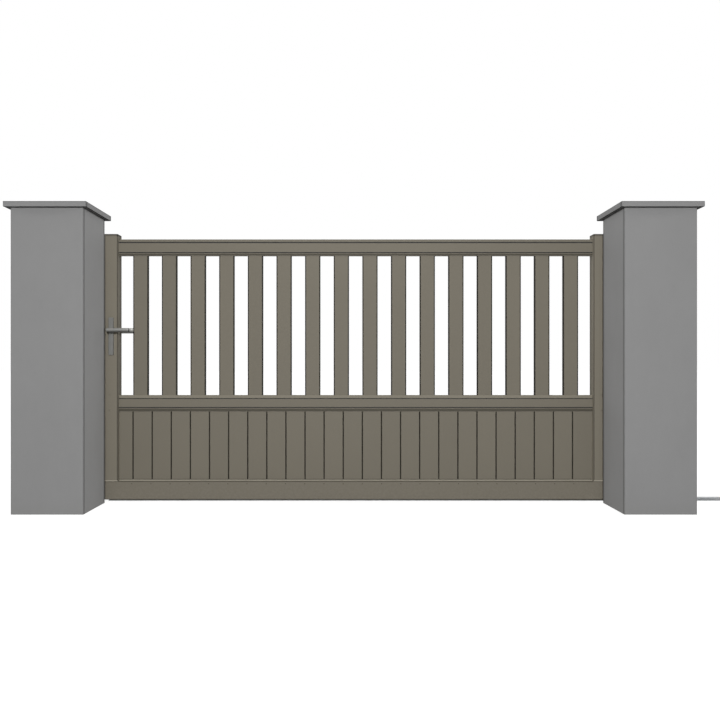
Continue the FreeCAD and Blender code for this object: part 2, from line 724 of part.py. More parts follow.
def catch_buffers():
    """Two rubber pads in the catch that the lock stile's edge closes against."""
    body = new_body("catch_buffers", CATCH_WEB, LEAF_MID, "catch_base_level")
    half = "catch_buffer_width / 2"
    face = new_sketch(body, "YZ_Plane")
    for low in ("catch_buffer_margin", "catch_buffer_margin + catch_buffer_spacing"):
        rectangle(face, f"-{half}", low, half, f"{low} + catch_buffer_height")
    pad(body, face, f"{LEAF_LEFT} - {CATCH_WEB} - catch_buffer_gap")


def mortise_lock():
    """Lock case in the stile, with its face plate, the bolt's slot and the spindle's hub."""
    body = new_body("mortise_lock", LEAF_LEFT, LEAF_MID, "lever_level")
    face = new_sketch(body, "YZ_Plane")
    half = "lock_face_width / 2"
    rectangle(face, f"-{half}", "-lock_case_drop - lock_face_height / 2", half,
              "-lock_case_drop + lock_face_height / 2")
    pad(body, face, "lock_face_thickness", back=True)
    case = new_sketch(body, "YZ_Plane")
    half_case = "lock_case_thickness / 2"
    rectangle(case, f"-{half_case}", "-lock_case_drop - lock_case_height / 2", half_case,
              "-lock_case_drop + lock_case_height / 2")
    pad(body, case, "lock_case_depth")
    hub = new_sketch(body, "XZ_Plane")
    circle(hub, "lever_setback", "0", "lock_hub_hole")
    cut_through(body, hub)
    bolt = new_sketch(body, "YZ_Plane", "-lock_face_thickness")
    half_slot = "lock_bolt_slot_width / 2"
    rectangle(bolt, f"-{half_slot}", "-lock_bolt_drop - lock_bolt_slot / 2", half_slot,
              "-lock_bolt_drop + lock_bolt_slot / 2")
    cut(body, bolt, "lock_face_thickness + lock_bolt_slot_depth", back=True)


def handle_plate(name, y, outwards):
    """Long plate on one face of the lock stile, bored for the lever's neck."""
    body = new_body(name, LEVER_X, y, "lever_level - plate_drop")
    face = new_sketch(body, "XZ_Plane")
    centred(face, "plate_width", "plate_height")
    pad(body, face, "plate_thickness", back=not outwards)
    round_edges(body, "plate_corner", at_corners("plate_width", "plate_height", "x", "z", "y"))
    bore = new_sketch(body, "XZ_Plane")
    circle(bore, "0", "plate_drop", "neck_diameter + 2 * neck_play")
    cut_through(body, bore)


def lever(name, y, outwards):
    """Lever whose own origin is where its neck meets the middle of its grip."""
    body = new_body(name, LEVER_X, y, "lever_level")
    end = "(grip_length + ring_width + knob_length)"
    ring_end = "(grip_length + ring_width)"
    radius = "grip_diameter / 2"
    grip = new_sketch(body, "XY_Plane")
    outline(grip, [("-grip_heel", "0"), ("-grip_heel", f"{radius} - heel_chamfer"),
                   ("-grip_heel + heel_chamfer", radius), ("grip_length", radius),
                   ("grip_length", "ring_diameter / 2"),
                   (ring_end, "ring_diameter / 2"), (ring_end, radius), (f"{end} - knob_chamfer", radius),
                   (end, f"{radius} - knob_chamfer"), (end, "0")])
    turn(body, grip, "H_Axis")
    neck = new_sketch(body, "XZ_Plane")
    circle(neck, "0", "0", "neck_diameter")
    reach = "(lever_projection - neck_end_gap)"
    pad(body, neck, reach, back=outwards)
    side = "1" if outwards else "-1"
    socket = new_sketch(body, "XZ_Plane", f"-{side} * {reach}")
    centred(socket, "(spindle_side + 2 * spindle_play)", "(spindle_side + 2 * spindle_play)")
    cut(body, socket, "socket_depth", back=outwards)


def spindle():
    """Square bar that joins the two levers through the lock."""
    body = new_body("spindle", LEVER_X, LEAF_MID, "lever_level")
    section = new_sketch(body, "XZ_Plane")
    centred(section, "spindle_side", "spindle_side")
    pad(body, section, "leaf_depth + 2 * (neck_end_gap + socket_depth - spindle_play)", middle=True)


# The whole gate

pier("left_pier", "0")
pier("right_pier", PIER_SPACING)
pier_cap("left_pier_cap", "0")
pier_cap("right_pier_cap", PIER_SPACING)
ground_track()
open_stop()
stop_buffer()
guide_bracket()
guide_pin()
guide_roller()
catch_channel()
catch_buffers()
bottom_rail()
end_plugs()
wheels()
carriages()
lock_stile()
stile("tail_stile", f"{LEAF_RIGHT} - stile_width / 2")
stile_caps()
rail("top_rail", TOP_RAIL_BASE, open_above=False)
rail("middle_rail", MIDDLE_RAIL_BASE, open_above=True)
lower_panel()
for slat_index in range(round(number("slat_count"))):
    slat(slat_index)
slat_spacers()
guide_channel()
mortise_lock()
handle_plate("front_handle_plate", LEAF_FRONT, outwards=True)
handle_plate("back_handle_plate", LEAF_BACK, outwards=False)
lever("front_lever", f"{LEAF_FRONT} - lever_projection", outwards=True)
lever("back_lever", f"{LEAF_BACK} + lever_projection", outwards=False)
spindle()
doc.recompute()

for item in doc.Objects:
    if {"Invalid", "Error"} & set(item.State):
        raise RuntimeError(f"{item.Name} failed: {item.State}")
for node in nodes:
    if node.Shape.isNull() or not node.Shape.isValid():
        raise RuntimeError(f"{node.Label} has no valid shape")

os.makedirs("parts", exist_ok=True)
for node in nodes:
    node.Shape.exportStep(f"parts/{node.Label}.step")
    print(node.Label, len(node.Shape.Solids), round(node.Shape.Volume), node.Shape.BoundBox)
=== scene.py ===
import json
import math

import bmesh
import bpy
from bpy.props import FloatProperty, FloatVectorProperty, PointerProperty
from mathutils import Matrix, Vector, noise


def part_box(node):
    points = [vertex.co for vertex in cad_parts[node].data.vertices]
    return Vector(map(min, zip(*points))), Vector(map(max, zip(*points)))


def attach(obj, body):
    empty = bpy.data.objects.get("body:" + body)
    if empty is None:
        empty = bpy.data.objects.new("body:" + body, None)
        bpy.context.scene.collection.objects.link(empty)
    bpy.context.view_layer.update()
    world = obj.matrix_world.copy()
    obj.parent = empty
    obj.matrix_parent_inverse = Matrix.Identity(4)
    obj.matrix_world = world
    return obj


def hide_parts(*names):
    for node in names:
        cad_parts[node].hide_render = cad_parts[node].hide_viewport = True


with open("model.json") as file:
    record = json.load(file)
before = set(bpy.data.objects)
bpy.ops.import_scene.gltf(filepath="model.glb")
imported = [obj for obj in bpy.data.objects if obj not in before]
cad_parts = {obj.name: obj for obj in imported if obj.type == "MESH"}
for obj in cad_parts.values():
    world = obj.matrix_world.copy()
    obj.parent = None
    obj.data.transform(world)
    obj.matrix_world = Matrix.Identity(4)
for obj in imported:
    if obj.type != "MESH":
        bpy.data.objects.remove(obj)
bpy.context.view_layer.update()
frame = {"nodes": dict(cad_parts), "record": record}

bl_info = {
    "name": "Sliding driveway gate",
    "version": (1, 0, 0),
    "blender": (4, 5, 0),
    "location": "3D View > Sidebar > Gate",
    "description": "Gives the gate its finishes, small parts, floor and light",
    "category": "Object",
}

SLOT_COLOUR = {entry["slot"]: entry["base_color"] for entry in frame["record"]["materials"]}
SLOT_OF = {entry["node"]: entry["material_slot"] for entry in frame["record"]["subparts"]}
BODY_OF = {node: body for body, nodes in frame["record"]["behaviour"]["bodies"].items() for node in nodes}

SLATS = sorted(name for name in frame["nodes"] if name.startswith(("slat_0", "slat_1")))
STILES = ("lock_stile", "tail_stile")

# Nodes that keep their own shape and get their slot's finish
PLAIN_NODES = ["guide_channel", "slat_spacers", "ground_rail", "wheel_carriages", "spindle", "mortise_lock"]

# Nodes shown as copies with eased edges, and how far each edge is eased, in metres
EASED_NODES = {
    "left_pier_cap": 0.0025, "right_pier_cap": 0.0025, "open_stop": 0.0008, "guide_bracket": 0.0008,
    "catch_channel": 0.0006, "catch_buffers": 0.002, "bottom_rail": 0.0006, "end_plugs": 0.0008,
    "stile_caps": 0.0015, "top_rail": 0.0006, "middle_rail": 0.0006,
    "front_handle_plate": 0.0012, "back_handle_plate": 0.0012,
}

# How tall the channels' lips are above and below the rails' boxes, in metres
RAIL_LIP = 0.02

# How long the levers' knobs are beyond their ring, and how wide the ring's groove is, in metres
KNOB_LENGTH = 0.018
RING_WIDTH = 0.0075

# How strongly the textured coat and the rubber reflect, beside plain paint's 0.5
COAT_GLOSS = 0.1
RUBBER_GLOSS = 0.2

# How deep the coat's texture is, and how far from the slats' and stiles' edges painted shade darkens it, in
# metres
COAT_TEXTURE = 0.00012
SHADED_EDGE = 0.008

# Colours of what settles on the surfaces
SPLASHED_SOIL = (0.19, 0.18, 0.165)
DUST = (0.30, 0.275, 0.235)
ZINC_BLOOM = (0.52, 0.53, 0.53)

# Sections of the strips on the leaf's faces: how far proud of the face, and how high above the strip's foot
SILL_BEAD = [(-0.0068, -0.0005), (-0.0045, -0.0005), (-0.0045, 0.0018), (-0.0055, 0.0028), (-0.0068, 0.0032)]
SILL_TRIM = [(-0.0036, 0.0002), (-0.0020, 0.0002), (-0.0014, 0.0012), (-0.0018, 0.0052), (-0.0036, 0.0056)]
STILE_TRIM = [(-0.0006, 0.0004), (0.0010, 0.0004), (0.0012, 0.0030), (0.0008, 0.0042), (-0.0006, 0.0046)]
LEDGE_SEAL = [(-0.0006, -0.0036), (0.0005, -0.0033), (0.0007, -0.0021), (0.0005, -0.001), (-0.0006, -0.0007)]
FOOT_SEAL = [(-0.0006, 0.0001), (0.0006, 0.0002), (0.0009, 0.0016), (0.0006, 0.0031), (-0.0006, 0.0035)]

# The gaskets' section: how far proud of the face, and heights as shares of the gasket's own
GASKET = [
    (-0.0002, -0.5), (0.0009, -0.4), (0.0012, 0.0), (0.0009, 0.4), (0.0, 0.5), (-0.0036, 0.5),
    (-0.0036, 0.05), (-0.0002, 0.05),
]

# Rings of a plug over a board's fixing, and of a countersunk screw's head, flush in its plate
PLUG = [(0, 0), (0.003, 0), (0.003, 0.0004), (0.0026, 0.0008), (0.0012, 0.001), (0, 0.001)]
COUNTERSUNK = [
    (0, -0.0025), (0.0042, -0.0025), (0.0064, -0.0001), (0.0065, 0.0003), (0.0058, 0.0006),
    (0.003, 0.0006, 6), (0.0028, -0.0014, 6), (0, -0.0016),
]

# Directions that screws and turned parts face
LEFT, RIGHT = (-1, 0, 0), (1, 0, 0)
FRONT, BACK = (0, -1, 0), (0, 1, 0)
UP = (0, 0, 1)

# The camera: focal length and sensor width in millimetres, and how far its view is shifted
LENS = 29.25
SENSOR = 36.0
VIEW_SHIFT = (0.0085, 0.0069)

# The front lamp: its distance before the piers' middle plane, its height and its diameter, in metres
LAMP_DISTANCE = 4.3
LAMP_HEIGHT = 1.9
LAMP_SIZE = 0.35

# How far the floor reaches in metres, its colour under light, and how much the camera sees it glow
FLOOR_REACH = 80.0
FLOOR_COLOUR = (0.6, 0.6, 0.6)
FLOOR_GLOW = 0.74
WHITE = (1, 1, 1)


# Places in the frame

def span(node, axis):
    """The middle of a node's box along an axis, and half its size there."""
    low, high = (getattr(corner, axis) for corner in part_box(node))
    return (low + high) / 2, (high - low) / 2


def slat_spacing():
    """The middle of the first slat and the distance from one to the next."""
    first, last = span(SLATS[0], "x")[0], span(SLATS[-1], "x")[0]
    return first, (last - first) / (len(SLATS) - 1)


def groove_spacing():
    """Where the first groove between the boards is and the distance from one to the next."""
    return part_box(SLATS[0])[0].x, slat_spacing()[1] * 2 / 3


def driveway_middle():
    """Where the middle of the opening between the piers is along X."""
    return (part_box("left_pier")[1].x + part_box("right_pier")[0].x) / 2


# Shader maths

class Value:
    """One output of a shader node, which Python's own operators work on."""

    def __init__(self, graph, socket):
        self.graph = graph
        self.socket = socket

    def __add__(self, other):
        return self.graph.sum_of("ADD", self, other)

    def __radd__(self, other):
        return self.graph.sum_of("ADD", other, self)

    def __sub__(self, other):
        return self.graph.sum_of("SUBTRACT", self, other)

    def __rsub__(self, other):
        return self.graph.sum_of("SUBTRACT", other, self)

    def __mul__(self, other):
        return self.graph.sum_of("MULTIPLY", self, other)

    def __rmul__(self, other):
        return self.graph.sum_of("MULTIPLY", other, self)

    def __truediv__(self, other):
        return self.graph.sum_of("DIVIDE", self, other)

    def __gt__(self, other):
        return self.graph.sum_of("GREATER_THAN", self, other)

    def __abs__(self):
        return self.graph.sum_of("ABSOLUTE", self)


class Graph:
    """The node tree of one finish, lamp or background."""

    def __init__(self, tree, material=None):
        self.tree = tree
        self.material = material
        tree.nodes.clear()

    def node(self, kind, settings=None, inputs=None, output=0):
        """Add a shader node: its settings first, then the values or links of its sockets."""
        made = self.tree.nodes.new(f"ShaderNode{kind}")
        for name, setting in (settings or {}).items():
            setattr(made, name, setting)
        for name, given in (inputs or {}).items():
            socket = made.inputs[name]
            if isinstance(given, Value):
                self.tree.links.new(given.socket, socket)
            elif socket.type == "RGBA":
                socket.default_value = (*given, 1.0)
            else:
                socket.default_value = given
        if not made.outputs:
            return None
        return Value(self, made.outputs[output])

    def sum_of(self, operation, *terms):
        return self.node("Math", {"operation": operation}, dict(enumerate(terms)))

    def clamped(self, value):
        """Keep a value between 0 and 1."""
        return self.node("Clamp", {}, {"Value": value})

    def ramp(self, value, low, high):
        """Rise smoothly from 0 at low to 1 at high."""
        settings = {"interpolation_type": "SMOOTHSTEP"}
        return self.node("MapRange", settings, {"Value": value, "From Min": low, "From Max": high})

    def point(self, stretch=None):
        """A point of the surface, in metres, in the part's own frame, or stretched along its axes."""
        here = self.node("TexCoord", output="Object")
        if stretch is None:
            return here
        return self.node("VectorMath", {"operation": "MULTIPLY"}, {0: here, 1: stretch})

    def axis(self, vector, name):
        return self.node("SeparateXYZ", {}, {0: vector}, name)

    def place(self, name):
        """Where a point of the surface is along an axis, in metres."""
        return self.axis(self.point(), name)

    def facing(self, name):
        """How much the surface faces along an axis of the part's own frame, from -1 to 1."""
        return self.axis(self.node("TexCoord", output="Normal"), name)

    def cloud(self, scale, detail=3.0, roughness=0.5, stretch=None):
        """Soft noise between 0 and 1, scale patches to the metre."""
        inputs = {"Vector": self.point(stretch), "Scale": scale, "Detail": detail, "Roughness": roughness}
        return self.node("TexNoise", {}, inputs)

    def cells(self, scale, output="Distance"):
        """How far a point is from the middle of its cell, with scale cells to the metre."""
        return self.node("TexVoronoi", {}, {"Vector": self.point(), "Scale": scale}, output)

    def grains(self, scale):
        """A random number between 0 and 1 for each cell, with scale cells to the metre."""
        return self.axis(self.cells(scale, "Color"), "X")

    def chance(self, value):
        """A fixed random number between 0 and 1 for each whole number."""
        return self.node("TexWhiteNoise", {"noise_dimensions": "1D"}, {"W": value})

    def blend(self, share, first, second, kind="MIX"):
        """Mix two colours."""
        settings = {"data_type": "RGBA", "blend_type": kind}
        return self.node("Mix", settings, {0: share, 6: first, 7: second}, 2)

    def shaded(self, colour, shade):
        """Lighten or darken a colour by a value."""
        return self.blend(1.0, colour, shade, "MULTIPLY")

    def bump(self, height, distance):
        """The surface's direction with a height in the material, which is distance at most."""
        return self.node("Bump", {}, {"Height": height, "Distance": distance})


def new_finish(name):
    """The graph of an empty material, named apart from the plain ones that the parts come with."""
    material = bpy.data.materials.new(f"gate_{name}")
    material.use_nodes = True
    return Graph(material.node_tree, material)


def surface(graph, inputs):
    """End a finish in one Principled shader, and give its material."""
    shader = graph.node("BsdfPrincipled", {}, inputs)
    graph.node("OutputMaterial", {}, {"Surface": shader})
    return graph.material


# Finishes

def sideways(graph):
    """Rise to 1 on the faces to the left and right."""
    return graph.ramp(abs(graph.facing("X")), 0.6, 0.8)


def painted_corner_shade(graph, node, side_darkness):
    """Painted shade at the corners of the piers or caps like the node: a strip on the sides, a line on the
    fronts.
    """
    depth_middle, half_depth = span(node, "y")
    outwards = abs(graph.place("Y") - depth_middle)
    # Painted shade: a dark strip on the side faces next to the front and back corners
    shade_strip = graph.ramp(outwards, half_depth - 0.020, half_depth - 0.014) * sideways(graph)
    width_middle, half_width = span(node, "x")
    middle = driveway_middle()
    across = abs(abs(graph.place("X") - middle) - abs(width_middle - middle))
    # Painted shade: a dark line on the front faces along the upright edges
    painted_edge_shade = graph.ramp(across, half_width - 0.0055, half_width - 0.003) * (1 - sideways(graph))
    return shade_strip * side_darkness + painted_edge_shade * 0.2


def painted_render(finishes):
    """Smooth masonry paint over floated render, with a soft cloudiness, splashes near the ground and painted
    shade at the corners.
    """
    graph = new_finish("painted_render")
    clouds = graph.cloud(2.5, 5.0, 0.55)
    float_marks = graph.cloud(16.0, 4.0, 0.6, stretch=(1.0, 1.0, 0.45))
    sand = graph.cloud(380.0, 2.0, 0.6)
    pores = graph.ramp(graph.cells(160.0), 0.10, 0.28)
    splashed = graph.ramp(graph.place("Z") + (clouds - 0.5) * 0.08, 0.11, 0.0)
    shade = 1 + (clouds - 0.5) * 0.10 + (float_marks - 0.5) * 0.07 + (sand - 0.5) * 0.10 - (1 - pores) * 0.05
    # Painted shade along the piers' upright corners
    shade_marks = painted_corner_shade(graph, "left_pier", 0.44)
    painted = graph.shaded(finishes.render_colour, (shade - shade_marks) * 0.98)
    return surface(graph, {
        "Base Color": graph.blend(splashed * 0.1, painted, SPLASHED_SOIL),
        "Roughness": 0.84 + (sand - 0.5) * 0.16,
        "Normal": graph.bump(sand * 0.5 + float_marks * 0.9 + pores * 0.25, 0.0009),
    })


def coping(finishes):
    """Cast coping, finer than the render, with small blow holes; painted shade darkens its underside, top
    rim, sides and corners.
    """
    graph = new_finish("coping")
    clouds = graph.cloud(4.0, 5.0, 0.55)
    grain = graph.grains(420.0)
    holes = graph.ramp(graph.cells(62.0), 0.05, 0.13)
    upwards = graph.facing("Z")
    # Painted shade on the faces turned down
    underside = graph.ramp(upwards, -0.5, -0.9)
    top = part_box("left_pier_cap")[1].z
    # Painted shade: a dark line along the top of the front and sides
    rim = graph.ramp(graph.place("Z"), top - 0.006, top - 0.004) * (1 - graph.ramp(upwards, 0.5, 0.9))
    shade = 1 + (clouds - 0.5) * 0.12 + (grain - 0.5) * 0.10 - (1 - holes) * 0.22 - underside * 0.72
    # Painted shade at the corners, along the top rim and on the side faces
    shade_marks = painted_corner_shade(graph, "left_pier_cap", 0.45) + rim * 0.4 + sideways(graph) * 0.13
    return surface(graph, {
        "Base Color": graph.shaded(finishes.coping_colour, (shade - shade_marks) * 0.93),
        "Roughness": 0.78 + (grain - 0.5) * 0.15,
        "Normal": graph.bump(grain * 0.2 + holes * 0.8 + clouds * 0.4, 0.0008),
    })


def coat(graph, colour, batch=0.0, shade=None, dulled=0.0):
    """End a finish in the gate's textured coat, dusty near the ground.

    Batch lightens or darkens the coat under the dust, shade does so over it, and dulled roughens both."""
    drift = graph.cloud(3.0, 3.0)
    peel = graph.cloud(620.0, 2.0, 0.55)
    speck = graph.grains(900.0)
    low_down = graph.ramp(graph.place("Z") + (drift - 0.5) * 0.10, 0.20, 0.02)
    dusty = low_down * graph.ramp(graph.cloud(90.0, 4.0, 0.65), 0.35, 0.75) * 0.2
    coated = graph.shaded(colour, 1 + (drift - 0.5) * 0.05 + (speck - 0.5) * 0.05 + batch)
    dusted = graph.blend(dusty, coated, DUST)
    return surface(graph, {
        "Base Color": dusted if shade is None else graph.shaded(dusted, shade),
        "Roughness": 0.62 + (peel - 0.5) * 0.12 + dusty + dulled,
        "Specular IOR Level": COAT_GLOSS,
        "Normal": graph.bump(peel * 0.7 + speck * 0.3, COAT_TEXTURE),
    })


def powder_coat(finishes):
    """Finely textured grey-brown coat on the aluminium sections."""
    return coat(new_finish("powder_coat"), finishes.coat_colour)


def trim_coat(finishes):
    """The coat on the trims, made lighter as painted light for the lit top edge of the bottom rail."""
    return coat(new_finish("trim_coat"), finishes.trim_colour)


def slat_coat(finishes):
    """The coat on the slats, a shade different from one to the next, with painted shade on their edges and
    sides.
    """
    graph = new_finish("slat_coat")
    first, pitch = slat_spacing()
    along = graph.place("X") - first
    number = graph.sum_of("ROUND", along / pitch)
    batch = (graph.chance(number) - 0.5) * 0.05
    half = span(SLATS[0], "x")[1]
    # Painted shade along each slat's edges, reaching over its side faces
    painted_edge_shade = graph.ramp(abs(along - number * pitch), half - SHADED_EDGE, half - SHADED_EDGE * 0.7)
    return coat(graph, finishes.coat_colour, batch, 1 - painted_edge_shade * 0.9)


def stile_coat(finishes):
    """The coat on the stiles, lightened as painted light, with painted shade along their inner edges, on
    their inner sides and under the caps.
    """
    graph = new_finish("stile_coat")
    left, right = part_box("lock_stile")[1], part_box("tail_stile")[0]
    from_middle = graph.place("X") - (left.x + right.x) / 2
    inwards = (right.x - left.x) / 2 - abs(from_middle)
    # Painted shade: the fronts along the inner edges and the inner side faces darken
    edge = graph.ramp(inwards, -SHADED_EDGE * 0.8, -SHADED_EDGE * 0.5)
    # Painted light given back to the inner side faces, more on the tail stile's
    inner_side = graph.ramp(inwards, -0.0006, -0.0002) * (0.43 + (from_middle > 0) * 0.3)
    # Painted shade in a band just under the caps
    shade_band = graph.ramp(graph.place("Z"), left.z - 0.009, left.z - 0.008)
    # 1.12 is painted light: the stiles' coat is lighter than the other sections' coat
    return coat(graph, finishes.coat_colour, shade=1.12 - edge * 0.72 + inner_side - shade_band * 0.4)


def middle_rail_coat(finishes):
    """The coat on the middle rail, whose upper lip, facing the sky, gets a painted highlight."""
    graph = new_finish("middle_rail_coat")
    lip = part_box("middle_rail")[1].z - RAIL_LIP
    # Painted highlight on the upper lip
    lip_highlight = graph.ramp(graph.place("Z"), lip + 0.001, lip + 0.002)
    return coat(graph, finishes.coat_colour, shade=1 + lip_highlight * 0.28)


def board_coat(finishes):
    """The coat on the boards: each board its own shade, and painted shade in the grooves between them."""
    graph = new_finish("board_coat")
    first, pitch = groove_spacing()
    number = graph.sum_of("FLOOR", (graph.place("X") - first) / pitch)
    batch = (graph.chance(number + 40) - 0.5) * 0.04
    slope = abs(graph.facing("Y"))
    # Painted shade on the grooves' sloping walls, which are also rougher
    groove = graph.ramp(slope, 0.97, 0.75) * graph.ramp(slope, 0.1, 0.4)
    return coat(graph, finishes.coat_colour, batch, 1 - groove * 0.82, groove * 0.3)


def coloured_plastic(finishes):
    """Moulded plugs and caps in the coat's colour, with a fine spark-eroded grain and painted shade along the
    caps' top rim.
    """
    graph = new_finish("coloured_plastic")
    grain = graph.cells(1300.0)
    drift = graph.cloud(18.0, 3.0)
    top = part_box("stile_caps")[1].z
    # Painted shade: a dark band along the top of the caps
    rim = graph.ramp(graph.place("Z"), top - 0.0085, top - 0.0065)
    shade = 1.0 + drift * 0.08 - grain * 0.05 - rim * 0.9
    return surface(graph, {
        "Base Color": graph.shaded(finishes.plastic_colour, shade),
        "Roughness": 0.5 + (grain - 0.5) * 0.15,
        "Normal": graph.bump(grain, 0.0001),
    })


def satin_metal(finishes):
    """Metal brushed along the plates' height and the levers' length, with painted light and shade."""
    graph = new_finish("satin_metal")
    upright = graph.cloud(1500.0, 2.0, 0.7, stretch=(1.0, 1.0, 0.03))
    along = graph.cloud(1500.0, 2.0, 0.7, stretch=(0.03, 1.0, 1.0))
    brushed = upright * 0.5 + along * 0.5
    smears = graph.cloud(55.0, 4.0, 0.6)
    across = graph.place("X")
    knob_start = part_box("front_lever")[1].x - KNOB_LENGTH
    ring_start = knob_start - RING_WIDTH
    # The knob is painted lighter than the grip
    lighter_knob = graph.ramp(across, knob_start - 0.0005, knob_start + 0.0005)
    # Painted shade in the lever's ring
    shade_strip = graph.ramp(across, ring_start - 0.0005, ring_start + 0.0005) * (1 - lighter_knob)
    upwards = graph.facing("Z")
    # Painted shade on faces turned down, and a painted highlight on faces turned up
    underside_shade = graph.ramp(upwards, 0.1, -0.9)
    top_highlight = graph.ramp(upwards, 0.0, 0.9)
    leaf_middle, leaf_half = span("lock_stile", "y")
    outwards = abs(graph.place("Y") - leaf_middle)
    on_lever = graph.ramp(outwards, leaf_half + 0.009, leaf_half + 0.012)
    plate_middle, plate_half = span("front_handle_plate", "x")
    # Painted shade along the plates' upright edges
    at_edge = graph.ramp(abs(across - plate_middle), plate_half - 0.0035, plate_half - 0.0015)
    shade_band = at_edge * (1 - on_lever)
    wear = (brushed - 0.5) * 0.22 + (smears - 0.5) * 0.12
    shade = 1.25 + wear + on_lever * 0.3 + lighter_knob * 0.8 + top_highlight * 0.5
    # All painted shade
    painted_shade = underside_shade * 0.8 + shade_band * 0.4 + shade_strip
    return surface(graph, {
        "Base Color": graph.shaded(finishes.metal_colour, shade - painted_shade),
        "Metallic": 0.45,
        "Roughness": 0.38 + (smears - 0.5) * 0.2 + (brushed - 0.5) * 0.1,
        "Normal": graph.bump(brushed, 0.00006),
    })


def galvanised_steel(finishes):
    """Zinc with its spangle, dull and a little white where water stands."""
    graph = new_finish("galvanised_steel")
    spangle = graph.grains(85.0)
    fine = graph.cloud(260.0, 3.0, 0.6)
    bloom = graph.ramp(graph.cloud(9.0, 5.0, 0.6), 0.5, 0.72)
    zinc = graph.shaded(finishes.zinc_colour, 0.86 + spangle * 0.24 + (fine - 0.5) * 0.1)
    return surface(graph, {
        "Base Color": graph.blend(bloom * 0.35, zinc, ZINC_BLOOM),
        "Metallic": 0.8 - bloom * 0.4,
        "Roughness": 0.44 + spangle * 0.14 + bloom * 0.2,
        "Normal": graph.bump(spangle * 0.4 + fine * 0.6, 0.0001),
    })


def turned_steel(finishes):
    """Machined and zinc-plated steel with fine tool marks."""
    graph = new_finish("turned_steel")
    marks = graph.cloud(420.0, 2.0, 0.7, stretch=(1.0, 8.0, 1.0))
    stains = graph.cloud(40.0, 5.0, 0.6)
    return surface(graph, {
        "Base Color": graph.shaded(finishes.steel_colour, 0.86 + marks * 0.16 + (stains - 0.5) * 0.2),
        "Metallic": 0.95,
        "Roughness": 0.3 + stains * 0.2,
        "Normal": graph.bump(marks, 0.00005),
    })


def nylon(finishes):
    """Turned nylon, slightly dirty."""
    graph = new_finish("nylon")
    soil = graph.cloud(60.0, 5.0, 0.65)
    rings = graph.cloud(300.0, 1.0, stretch=(1.0, 1.0, 10.0))
    return surface(graph, {
        "Base Color": graph.shaded(finishes.nylon_colour, 1.02 - soil * 0.2),
        "Roughness": 0.45 + soil * 0.15,
        "Normal": graph.bump(rings, 0.00008),
    })


def rubber(name, colour, shade, bloomed, roughness):
    """Rubber with a greyish dusty bloom."""
    graph = new_finish(name)
    bloom = graph.cloud(30.0, 5.0, 0.6)
    return surface(graph, {
        "Base Color": graph.shaded(colour, shade + bloom * bloomed),
        "Roughness": roughness + (bloom - 0.5) * 0.2,
        "Specular IOR Level": RUBBER_GLOSS,
        "Normal": graph.bump(graph.cloud(900.0, 2.0), 0.00015),
    })


def black_rubber(finishes):
    """Black rubber of the buffers and gaskets."""
    return rubber("black_rubber", finishes.rubber_colour, 0.7, 0.7, 0.72)


def bead_rubber(finishes):
    """Grey-brown rubber of the beads, which is darker than the coat."""
    return rubber("bead_rubber", finishes.bead_colour, 0.85, 0.3, 0.74)


FINISH_MAKERS = {maker.__name__: maker for maker in (
    painted_render, coping, powder_coat, trim_coat, slat_coat, stile_coat, middle_rail_coat, board_coat,
    coloured_plastic, satin_metal, galvanised_steel, turned_steel, nylon, black_rubber, bead_rubber)}


def finish_of(name):
    """The material of one of the record's slots, or of another finish, made once."""
    if f"gate_{name}" not in bpy.data.materials:
        FINISH_MAKERS[name](bpy.context.scene.gate_finishes)
    return bpy.data.materials[f"gate_{name}"]


# Meshes

def add_object(name, data):
    """Put a mesh, light or camera into the scene."""
    added = bpy.data.objects.new(name, data)
    bpy.context.scene.collection.objects.link(added)
    return added


def show(bm, name, slot, body, replaced=(), finish=None, smooth=math.radians(35)):
    """Turn a mesh in the part's own frame into a named piece, in its slot's finish or the one given."""
    bmesh.ops.recalc_face_normals(bm, faces=bm.faces)
    mesh = bpy.data.meshes.new(name)
    bm.to_mesh(mesh)
    bm.free()
    mesh.polygons.foreach_set("use_smooth", [True] * len(mesh.polygons))
    mesh.set_sharp_from_angle(angle=smooth)
    mesh.materials.append(finish_of(finish or slot))
    piece = add_object(name, mesh)
    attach(piece, body)
    if replaced:
        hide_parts(*replaced)
    return piece


def eased(node, ease):
    """Copy a node's mesh with every sharp edge eased."""
    bm = bmesh.new()
    bm.from_mesh(frame["nodes"][node].data)
    bmesh.ops.remove_doubles(bm, verts=bm.verts, dist=1e-6)
    bmesh.ops.dissolve_limit(bm, angle_limit=math.radians(1), verts=bm.verts, edges=bm.edges)
    sharp = [edge for edge in bm.edges if edge.is_manifold and edge.calc_face_angle() > math.radians(50)]
    bmesh.ops.bevel(bm, geom=sharp, offset=ease, offset_type="OFFSET", segments=2, profile=0.5,
                    affect="EDGES", clamp_overlap=True)
    return bm


def skin(bm, loops):
    """Join loops with as many points each by faces, and close both ends."""
    for lower, upper in zip(loops, loops[1:]):
        for index in range(len(lower)):
            after = (index + 1) % len(lower)
            bm.faces.new([lower[index], lower[after], upper[after], upper[index]])
    bm.faces.new(loops[0])
    bm.faces.new(list(reversed(loops[-1])))


